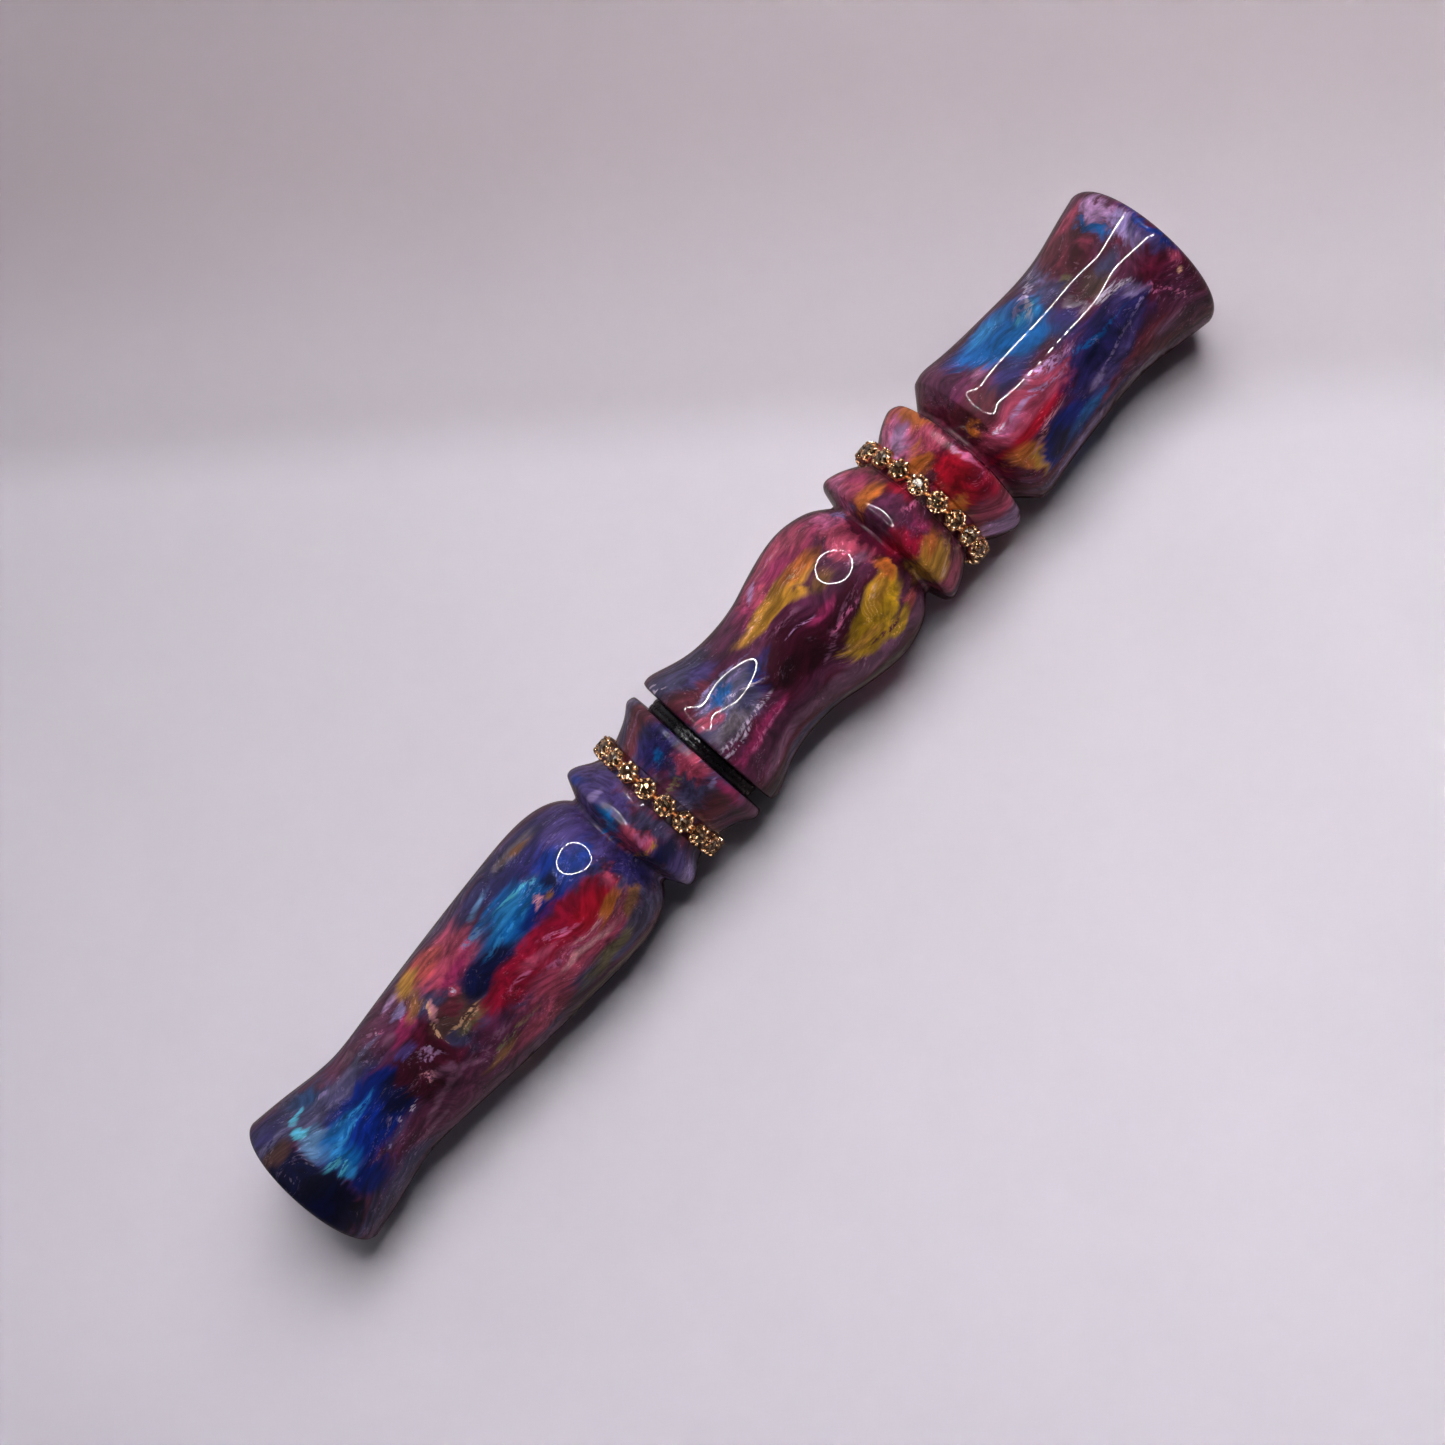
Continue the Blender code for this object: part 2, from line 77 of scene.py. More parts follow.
INSERT_BODY = [
    (0.9, 11.0), (6.6, 10.14), (10.4, 9.42), (14.3, 8.97), (19.8, 9.27), (26.4, 9.9), (39.6, 10.94),
    (46.2, 11.35), (51.3, 11.52), (56.1, 11.0), (58.6, 10.0), (60.0, 8.9), (60.7, 8.05),
]
INSERT_NECK = (61.3, 8.05)
INSERT_FLANGE = [
    (62.5, 10.45), (62.8, 10.85), (63.3, 11.0), (64.2, 10.77), (65.3, 10.1), (66.4, 9.4), (67.3, 9.05),
]
INSERT_COLLAR = [(70.3, 9.1), (72.9, 10.05), (74.4, 10.95), (75.3, 11.46), (76.1, 11.32)]
BARREL_BODY = [
    (78.5, 11.4), (79.0, 11.52), (80.6, 11.24), (82.0, 10.7), (85.0, 9.72), (89.0, 9.25),
    (91.7, 9.32), (94.4, 9.69), (97.0, 10.36), (99.8, 11.02), (102.2, 11.45), (105.2, 11.57),
    (108.1, 11.0), (109.8, 10.3), (111.1, 9.4), (112.2, 8.45),
]
BARREL_NECK = (112.8, 8.45)
BARREL_FLANGE = [
    (113.5, 10.85), (113.9, 11.3), (114.5, 11.44), (115.2, 11.3), (116.0, 11.03), (117.3, 10.4),
    (119.1, 9.3),
]
CROWN_FLANGE = [
    (122.5, 9.35), (124.2, 10.45), (126.1, 11.26), (126.8, 11.4), (127.5, 11.25), (128.1, 10.9),
]
CROWN_NECK = [(128.9, 8.42), (129.4, 8.42)]
MOUTHPIECE = [
    (131.9, 11.2), (133.3, 11.52), (135.4, 11.32), (138.6, 10.9), (145.2, 10.43), (150.5, 10.19),
    (155.1, 10.49), (158.4, 11.13), (161.0, 11.67), (LENGTH - MOUTH_LIP_R, RIM_R),
]
BANDS = {"insert": (68.8, 8.7), "barrel": (120.8, 8.95)}
BAND_WIDTH = 3.0
CUP_COUNT = 19

# ---- camera and light, as in the photograph's view ----

CAMERA_ELEVATION = 60.0     # degrees over the table
CAMERA_DISTANCE = 0.277
CAMERA_LENS = 52.2
CALL_SLOPE = 48.07          # degrees from the picture's horizontal to the call's axis
CAMERA_OFFSET = (-0.00086, -0.0006)     # right and up, so the call sits where it does in the picture
RING_ANGLE = 31.0           # degrees from the camera's direction to the ring light's, uphill
RING_LEAN = 24.6            # and toward the mouth
RING_DISTANCE = 0.257       # along the camera's direction
RING_RADIUS = 0.124
RING_DOTS = 150
RING_DOT_RADIUS = 0.0016
RING_STRENGTH = 184.0
MIRRORED_GAIN = 0.6         # what the ring gains in the polish, over its strength as a light
SPARKLE_DISTANCE, SPARKLE_COLOUR = 0.8, (1.0, 0.95, 0.88)
SPARKLE_LIGHTS = [          # name, direction from the call, width in m, watts
    ("window_high", Vector((0.35, -0.1, 1.0)), 0.25, 1.6),
    ("window_left", Vector((-0.9, -0.2, 0.8)), 0.3, 1.6),
    ("window_right", Vector((0.9, -0.6, 0.7)), 0.2, 1.2),
    ("window_near", Vector((-0.2, -1.0, 0.5)), 0.3, 1.6),
]

ELEVATION = math.radians(CAMERA_ELEVATION)
TO_CAMERA = Vector((0.0, -math.cos(ELEVATION), math.sin(ELEVATION)))
UPHILL = Vector((0.0, math.sin(ELEVATION), math.cos(ELEVATION)))


# ---- small helpers ----

RELAX_ROUNDS = 40


def srgb(red, green, blue):
    """Linear colour from 8-bit screen values."""
    made = []
    for value in (red, green, blue):
        part = value / 255
        made.append(part / 12.92 if part <= 0.04045 else ((part + 0.055) / 1.055) ** 2.4)
    return (*made, 1.0)


def place(x, radius, angle):
    """World place at x mm along the axis and radius mm out, angle radians round from the top."""
    return Vector((START_X + x * MM, -radius * MM * math.sin(angle), AXIS_Z + radius * MM * math.cos(angle)))


def smooth_sweep(points, step):
    """A smooth curve through the points, as a list of (x, radius) about a step apart.
    Its bend runs on evenly through each point, so that no reflection kinks there."""
    knots = [Vector(point) for point in points]
    spans = [(b - a).length for a, b in zip(knots, knots[1:])]
    chords = [(b - a) / span for a, b, span in zip(knots, knots[1:], spans)]
    slopes = [chords[0], *chords]
    for _ in range(RELAX_ROUNDS):
        slopes[0] = (chords[0] * 3 - slopes[1]) / 2
        for i in range(1, len(knots) - 1):
            before, after = 1 / spans[i - 1], 1 / spans[i]
            pull = (chords[i - 1] * before + chords[i] * after) * 3
            slopes[i] = (pull - slopes[i - 1] * before - slopes[i + 1] * after) / (2 * (before + after))
        slopes[-1] = (chords[-1] * 3 - slopes[-2]) / 2
    made = []
    for i, span in enumerate(spans):
        reach = span / 3
        count = max(2, round(span / step))
        made += interpolate_bezier(
            knots[i], knots[i] + slopes[i] * reach, knots[i + 1] - slopes[i + 1] * reach, knots[i + 1],
            count + 1,
        )[:-1]
    return [(p.x, p.y) for p in made] + [tuple(knots[-1])]


def quarter(centre_x, centre_r, radius, start, steps=8):
    """A quarter circle of outline points, from start degrees back by 90."""
    made = []
    for step in range(steps + 1):
        angle = math.radians(start - 90 * step / steps)
        made.append((centre_x + radius * math.cos(angle), centre_r + radius * math.sin(angle)))
    return made


CORNER_ANGLE = math.radians(18)     # an outline that bends less than this has no corner there
CORNER_SHARE = 0.45                 # the most of a side that a rounded corner takes up
CORNER_PULL = 0.6                   # how far its handles reach toward the corner


def eased(outline, radius=0.22, steps=4):
    """The closed outline with each sharp corner turned into a small round one, as polishing leaves it."""
    made = []
    count = len(outline)
    for i in range(count):
        before, here, after = (Vector(outline[(i + k) % count]) for k in (-1, 0, 1))
        back, ahead = before - here, after - here
        if back.length < 1e-6 or ahead.length < 1e-6:
            continue
        if back.angle(-ahead) < CORNER_ANGLE:
            made.append(tuple(here))
            continue
        start = here + back.normalized() * min(radius, back.length * CORNER_SHARE)
        end = here + ahead.normalized() * min(radius, ahead.length * CORNER_SHARE)
        made += [tuple(p) for p in interpolate_bezier(
            start, start.lerp(here, CORNER_PULL), end.lerp(here, CORNER_PULL), end, steps + 1)]
    return made


def turned(name, outline, steps, material, inner_material=None, inner_r=0.0):
    """A ring-shaped solid turned about the call's axis from a closed outline of (x, radius).
    Faces that lie no further out than inner_r take the second material."""
    rows = len(outline)
    verts = []
    for x, radius in outline:
        for k in range(steps):
            verts.append(place(x, radius, 2 * math.pi * k / steps))
    faces = []
    inner = []
    for row in range(rows):
        other = (row + 1) % rows
        is_inner = outline[row][1] <= inner_r and outline[other][1] <= inner_r
        for k in range(steps):
            n = (k + 1) % steps
            faces.append((row * steps + k, row * steps + n, other * steps + n, other * steps + k))
            inner.append(1 if is_inner else 0)
    mesh = bpy.data.meshes.new(name)
    mesh.from_pydata(verts, [], faces)
    mesh.materials.append(material)
    if inner_material:
        mesh.materials.append(inner_material)
        mesh.polygons.foreach_set("material_index", inner)
    mesh.shade_smooth()
    return add_object(name, facing_out(mesh))


def facing_out(mesh):
    """The closed mesh with every face turned outward."""
    shape = bmesh.new()
    shape.from_mesh(mesh)
    bmesh.ops.recalc_face_normals(shape, faces=shape.faces)
    if shape.calc_volume(signed=True) < 0:
        bmesh.ops.reverse_faces(shape, faces=shape.faces)
    shape.to_mesh(mesh)
    shape.free()
    return mesh


def mesh_from(shape, name):
    """The bmesh as a new mesh. The bmesh itself is freed."""
    mesh = bpy.data.meshes.new(name)
    shape.to_mesh(mesh)
    shape.free()
    return mesh


def add_object(name, data):
    """An object in the scene with this mesh, lamp or camera."""
    made = bpy.data.objects.new(name, data)
    bpy.context.scene.collection.objects.link(made)
    return made


def around(radius, angle, height=0.0):
    """The place at this radius and height, angle radians round Z."""
    return Vector((radius * math.cos(angle), radius * math.sin(angle), height))


# ---- nodes ----

class Tree:
    """Short calls for building a material's nodes."""

    def __init__(self, name):
        self.material = bpy.data.materials.new(name)
        self.material.use_nodes = True
        self.nodes = self.material.node_tree.nodes
        self.links = self.material.node_tree.links
        self.shader = self.nodes["Principled BSDF"]

    def feed(self, socket, value):
        if isinstance(value, bpy.types.NodeSocket):
            self.links.new(value, socket)
        elif value is not None:
            socket.default_value = value

    def add(self, kind, settings=None, inputs=None, output=0):
        node = self.nodes.new(kind)
        for key, value in (settings or {}).items():
            setattr(node, key, value)
        for key, value in (inputs or {}).items():
            self.feed(node.inputs[key], value)
        return node.outputs[output]

    def math(self, operation, a, b=None, c=None):
        return self.add("ShaderNodeMath", {"operation": operation}, {0: a, 1: b, 2: c})

    def vector(self, operation, a, b=None, output=0):
        return self.add("ShaderNodeVectorMath", {"operation": operation}, {0: a, 1: b}, output)

    def scaled(self, vector, by):
        return self.vector("MULTIPLY", vector, by)

    def noise(self, vector, scale, detail=4.0, roughness=0.55, output="Fac"):
        return self.add("ShaderNodeTexNoise", None, {
            "Vector": vector, "Scale": scale, "Detail": detail, "Roughness": roughness}, output)

    def range(self, value, low, high, to_low=0.0, to_high=1.0, smooth=True):
        kind = "SMOOTHSTEP" if smooth else "LINEAR"
        return self.add("ShaderNodeMapRange", {"interpolation_type": kind}, {
            "Value": value, "From Min": low, "From Max": high, "To Min": to_low, "To Max": to_high})

    def mix(self, factor, a, b):
        return self.add("ShaderNodeMix", {"data_type": "RGBA"}, {0: factor, 6: a, 7: b}, 2)

    def object_place(self):
        return self.add("ShaderNodeTexCoord", output="Object")

    def bump(self, height, strength, distance):
        return self.add("ShaderNodeBump", None, {
            "Height": height, "Strength": strength, "Distance": distance})

    def set(self, **values):
        for key, value in values.items():
            self.feed(self.shader.inputs[key.replace("_", " ")], value)


# ---- the resin's swirl ----

PAINT = {
    "black_navy": (4, 9, 46), "navy": (8, 16, 62), "cobalt": (8, 40, 132), "royal": (16, 54, 150),
    "azure": (14, 98, 172), "sky": (44, 136, 204), "cyan": (90, 196, 224), "deep_teal": (24, 62, 108),
    "steel": (92, 132, 176), "slate": (72, 68, 104), "slate_light": (100, 94, 130), "indigo": (44, 40, 98),
    "violet": (76, 62, 124), "lavender": (150, 132, 186), "lilac": (196, 150, 200), "pearl": (214, 200, 220),
    "plum": (98, 42, 74), "mauve": (132, 82, 110), "wine": (88, 16, 42), "burgundy": (60, 10, 30),
    "maroon": (106, 42, 56), "crimson": (154, 16, 48), "red": (182, 18, 42), "rose": (186, 74, 102),
    "magenta": (162, 48, 96), "pink": (214, 112, 158), "blush": (224, 150, 160), "coral": (205, 84, 80),
    "orange": (204, 112, 48), "gold": (196, 140, 48), "yellow": (206, 158, 26), "bronze": (146, 96, 58),
    "cream": (226, 178, 136), "brown": (86, 58, 54), "olive": (122, 112, 80), "gray": (128, 116, 128),
}

# Strokes of paint: colour, x and angle of the middle (mm, degrees), half-length and half-width (mm),
# turn of the long side from the axis (degrees), softness of the edge (1 is a smooth blur).
INSERT_STROKES = [
    # ground, and a painted reflection: the grey stroke along the upper edge
    ("plum", 26, -46, 18, 5.4, 0, 0.5), ("slate", 9, -64, 10, 3.4, 0, 0.7),
    ("mauve", 30, -74, 16, 2.2, 0, 0.8), ("slate", 14, 38, 11, 3.4, 0, 0.5),
    ("plum", 23, 48, 6.5, 5.6, 0, 0.6), ("indigo", 50, 50, 12, 5.0, 0, 0.6),
    # painted reflection: a grey veil along the upper edge
    ("gray", 30, 80, 12, 1.6, 0, 0.9),
    # the exhaust end: blue fan from a near-black rim
    ("cobalt", 14, 1, 9.0, 5.0, 0, 0.35), ("navy", 18, -4, 3.6, 3.6, 0, 0.6),
    ("cobalt", 8, -32, 4.4, 3.4, -35, 0.6), ("azure", 8, -5, 3.6, 3.0, 0, 0.8),
    ("steel", 7, 17, 3.0, 2.8, 0, 0.6), ("azure", 10, 12, 4.6, 1.6, 8, 0.8),
    ("deep_teal", 9.5, 54, 4.4, 2.8, -20, 0.7), ("cyan", 7.6, 43, 1.3, 0.8, 30, 0.7),
    ("cyan", 6.2, 33, 1.7, 1.0, -5, 0.5), ("sky", 6.6, -14, 1.8, 1.4, 20, 0.6),
    ("cyan", 6.3, -2, 1.9, 0.6, 12, 0.7), ("cyan", 6.6, -9, 1.5, 0.3, 30, 0.6),
    ("sky", 10, 6, 4.0, 0.5, 11, 0.8), ("sky", 13, 13, 3.6, 0.35, -3, 0.8),
    ("black_navy", 1.9, -8, 3.7, 9.6, 0, 0.35), ("indigo", 2.6, 56, 4.2, 3.6, 0, 0.6),
    ("slate_light", 3.4, 41, 4.6, 0.7, 0, 0.7), ("brown", 2.0, 31, 2.8, 1.6, 0, 0.7),
    # slate and plum above it
    ("slate_light", 16, 42, 7.5, 0.9, 0, 0.8), ("plum", 16, 57, 5.6, 2.6, 0, 0.7),
    ("lavender", 12.2, 44, 0.8, 0.5, 0, 0.6), ("mauve", 16.2, 56, 1.7, 1.2, 50, 0.8),
    ("slate_light", 11, 31, 4.4, 0.4, -6, 0.7),
    # dark red eddy
    ("burgundy", 23.4, -4, 4.6, 5.2, 0, 0.35), ("wine", 26.6, 2, 3.4, 5.6, 10, 0.6),
    ("violet", 23.2, 15, 2.4, 1.1, -20, 0.7), ("lilac", 24.7, -3, 1.7, 0.5, -60, 0.6),
    ("blush", 23.2, -14, 1.5, 0.5, -40, 0.6), ("pearl", 25, 1, 0.5, 0.3, 40, 0.5),
    ("mauve", 25.6, -24, 4.4, 0.9, -38, 0.8), ("mauve", 32, -30, 4.6, 0.7, 6, 0.8),
    ("magenta", 25.4, 28, 3.0, 1.8, 10, 0.7), ("pink", 23.0, 45, 1.1, 0.7, 0, 0.6),
    ("lilac", 26.6, 56, 2.0, 1.1, -20, 0.7), ("lavender", 26.6, 40, 1.6, 0.9, 10, 0.7),
    ("mauve", 23, 33, 1.7, 0.9, 20, 0.7), ("pearl", 22.2, 45, 0.6, 0.3, 20, 0.6),
    # orange and rose over it, with a cream crescent
    ("rose", 36, 34, 5.4, 3.4, 12, 0.5), ("coral", 33, 51, 4.2, 3.0, -10, 0.6),
    ("gold", 29.4, 53, 2.8, 3.0, 0, 0.7), ("bronze", 28.2, 32, 2.8, 1.4, 20, 0.7),
    ("rose", 38, 51, 3.0, 2.0, -30, 0.7), ("magenta", 35.4, 24, 4.0, 1.2, 18, 0.7),
    ("brown", 31.0, 2, 4.2, 3.0, -10, 0.5), ("slate", 29.6, -8, 2.6, 1.5, 0, 0.7),
    ("olive", 33, -8, 3.6, 0.8, -4, 0.8), ("rose", 33.0, 15, 1.6, 0.9, 10, 0.7),
    ("maroon", 31.5, 9, 2.0, 0.9, -40, 0.6), ("cream", 28.2, 4, 1.9, 0.42, 82, 0.5),
    ("blush", 29.6, 17, 1.8, 0.8, 62, 0.7), ("cream", 31.8, -2, 2.2, 0.32, 0, 0.6),
    ("cream", 29.4, 21, 1.1, 0.3, 70, 0.5), ("cream", 32.6, -6, 1.1, 0.22, 0, 0.5),
    ("pearl", 32.6, 16, 0.6, 0.3, 40, 0.6),
    # lower side: plum, rose and bronze
    ("mauve", 22, -34, 6.4, 0.8, 16, 0.8), ("mauve", 18, -50, 5.0, 0.8, 10, 0.8),
    ("bronze", 31, -44, 4.6, 0.9, 2, 0.9), ("rose", 38, -50, 7.0, 2.2, 4, 0.8),
    ("olive", 34, -38, 4.2, 0.5, 4, 0.7), ("pearl", 16.2, -20, 0.7, 0.3, 0, 0.5),
    ("pearl", 19, -21, 0.5, 0.4, 60, 0.5), ("lavender", 14.2, -15, 1.4, 0.3, 35, 0.7),
    ("lavender", 13, -29, 0.5, 0.4, 60, 0.6),
    # blue tongue
    ("indigo", 45, 55, 8.0, 2.6, 0, 0.7), ("azure", 47, 17, 8.0, 3.0, 0, 0.5),
    ("navy", 38.6, 7, 5.8, 2.7, -9, 0.5), ("cobalt", 50, 7, 7.0, 1.7, 0, 0.7),
    ("sky", 45, 23, 4.8, 0.8, 4, 0.7), ("sky", 43.5, 14, 4.0, 0.5, 3, 0.7),
    ("cyan", 48, 27, 3.4, 0.35, 0, 0.7), ("azure", 44, 33, 5.4, 1.0, 6, 0.8),
    ("steel", 43, 45, 3.4, 0.9, 20, 0.8), ("steel", 40.6, 31, 2.4, 0.6, -6, 0.7),
    ("royal", 55.4, 19, 5.0, 4.0, 0, 0.5), ("navy", 52.2, 15, 2.0, 1.6, 0, 0.8),
    ("blush", 48.6, 12, 1.4, 0.6, 40, 0.8), ("bronze", 50.4, 9, 1.2, 0.7, 0, 0.8),
    ("gray", 51, 56, 4.6, 1.5, -4, 0.7), ("bronze", 52, 53, 3.0, 0.9, -12, 0.8),
    # crimson and rose under the tongue
    ("crimson", 46, -11, 13.5, 2.8, 0, 0.35), ("rose", 47, -33, 12.0, 2.8, 0, 0.6),
    ("red", 53, -16, 4.6, 1.9, 0, 0.7), ("rose", 44, -13, 3.8, 1.1, -8, 0.8),
    ("pink", 48, -10, 2.4, 0.35, -25, 0.7), ("blush", 52, -26, 4.0, 0.5, -5, 0.7),
    ("blush", 49, -33, 6.0, 0.8, -6, 0.8), ("pink", 46, -25, 3.4, 0.35, -12, 0.7),
    ("pink", 40.4, -15, 2.0, 0.4, -6, 0.7), ("orange", 54.6, -25, 3.2, 1.0, 22, 0.7),
    ("bronze", 57, -36, 2.8, 1.6, 12, 0.7), ("rose", 57, -10, 2.0, 0.9, 55, 0.9),
    ("olive", 50, -52, 8.0, 1.4, 8, 0.8), ("slate", 56.6, -54, 4.4, 2.8, 0, 0.8),
    ("olive", 47, -72, 11.0, 1.4, 0, 0.9), ("violet", 58, 44, 3.6, 5.6, 0, 0.6),
    ("indigo", 59.6, -20, 1.9, 8.5, 0, 0.6), ("violet", 59.8, 16, 1.3, 6.0, 0, 0.8),
    # flange
    ("violet", 64, 46, 3.6, 8.0, 0, 0.5), ("lavender", 63.4, 36, 1.7, 0.8, 0, 0.7),
    ("royal", 63, 57, 1.2, 1.8, 0, 0.8), ("azure", 62.6, 17, 1.4, 2.9, 0, 0.6),
    ("violet", 65.4, 12, 1.7, 4.0, 0, 0.7), ("rose", 63.4, -9, 2.5, 3.0, 0, 0.5),
    ("pink", 63.6, -12, 1.0, 1.5, 0, 0.8), ("gold", 63, -23, 1.6, 0.6, 0, 0.6),
    ("slate", 66.2, -12, 1.5, 4.5, 0, 0.7), ("navy", 64, -34, 3.0, 2.2, 0, 0.7),
    ("violet", 64, -50, 3.4, 2.6, 0, 0.7), ("lavender", 63.6, -66, 2.8, 2.6, 0, 0.8),
    # collar
    ("maroon", 73.4, 49, 4.6, 3.4, 0, 0.5), ("slate_light", 74, 76, 4.0, 2.4, 0, 0.8),
    ("mauve", 73, 54, 3.0, 0.4, -8, 0.7), ("indigo", 73.4, 25, 4.4, 3.8, 0, 0.5),
    ("azure", 72.8, 18, 1.4, 1.1, 0, 0.8), ("rose", 75, -3, 2.1, 3.0, 0, 0.6),
    ("olive", 72.2, -1, 1.2, 0.5, 0, 0.6), ("slate", 71.6, -13, 2.2, 2.2, 0, 0.7),
    ("magenta", 75, -34, 2.2, 2.6, 0, 0.7), ("maroon", 72.6, -38, 2.6, 3.4, 0, 0.7),
    ("lavender", 74.8, -22, 1.4, 0.3, 0, 0.7), ("plum", 74, -62, 4.0, 3.6, 0, 0.7),
]
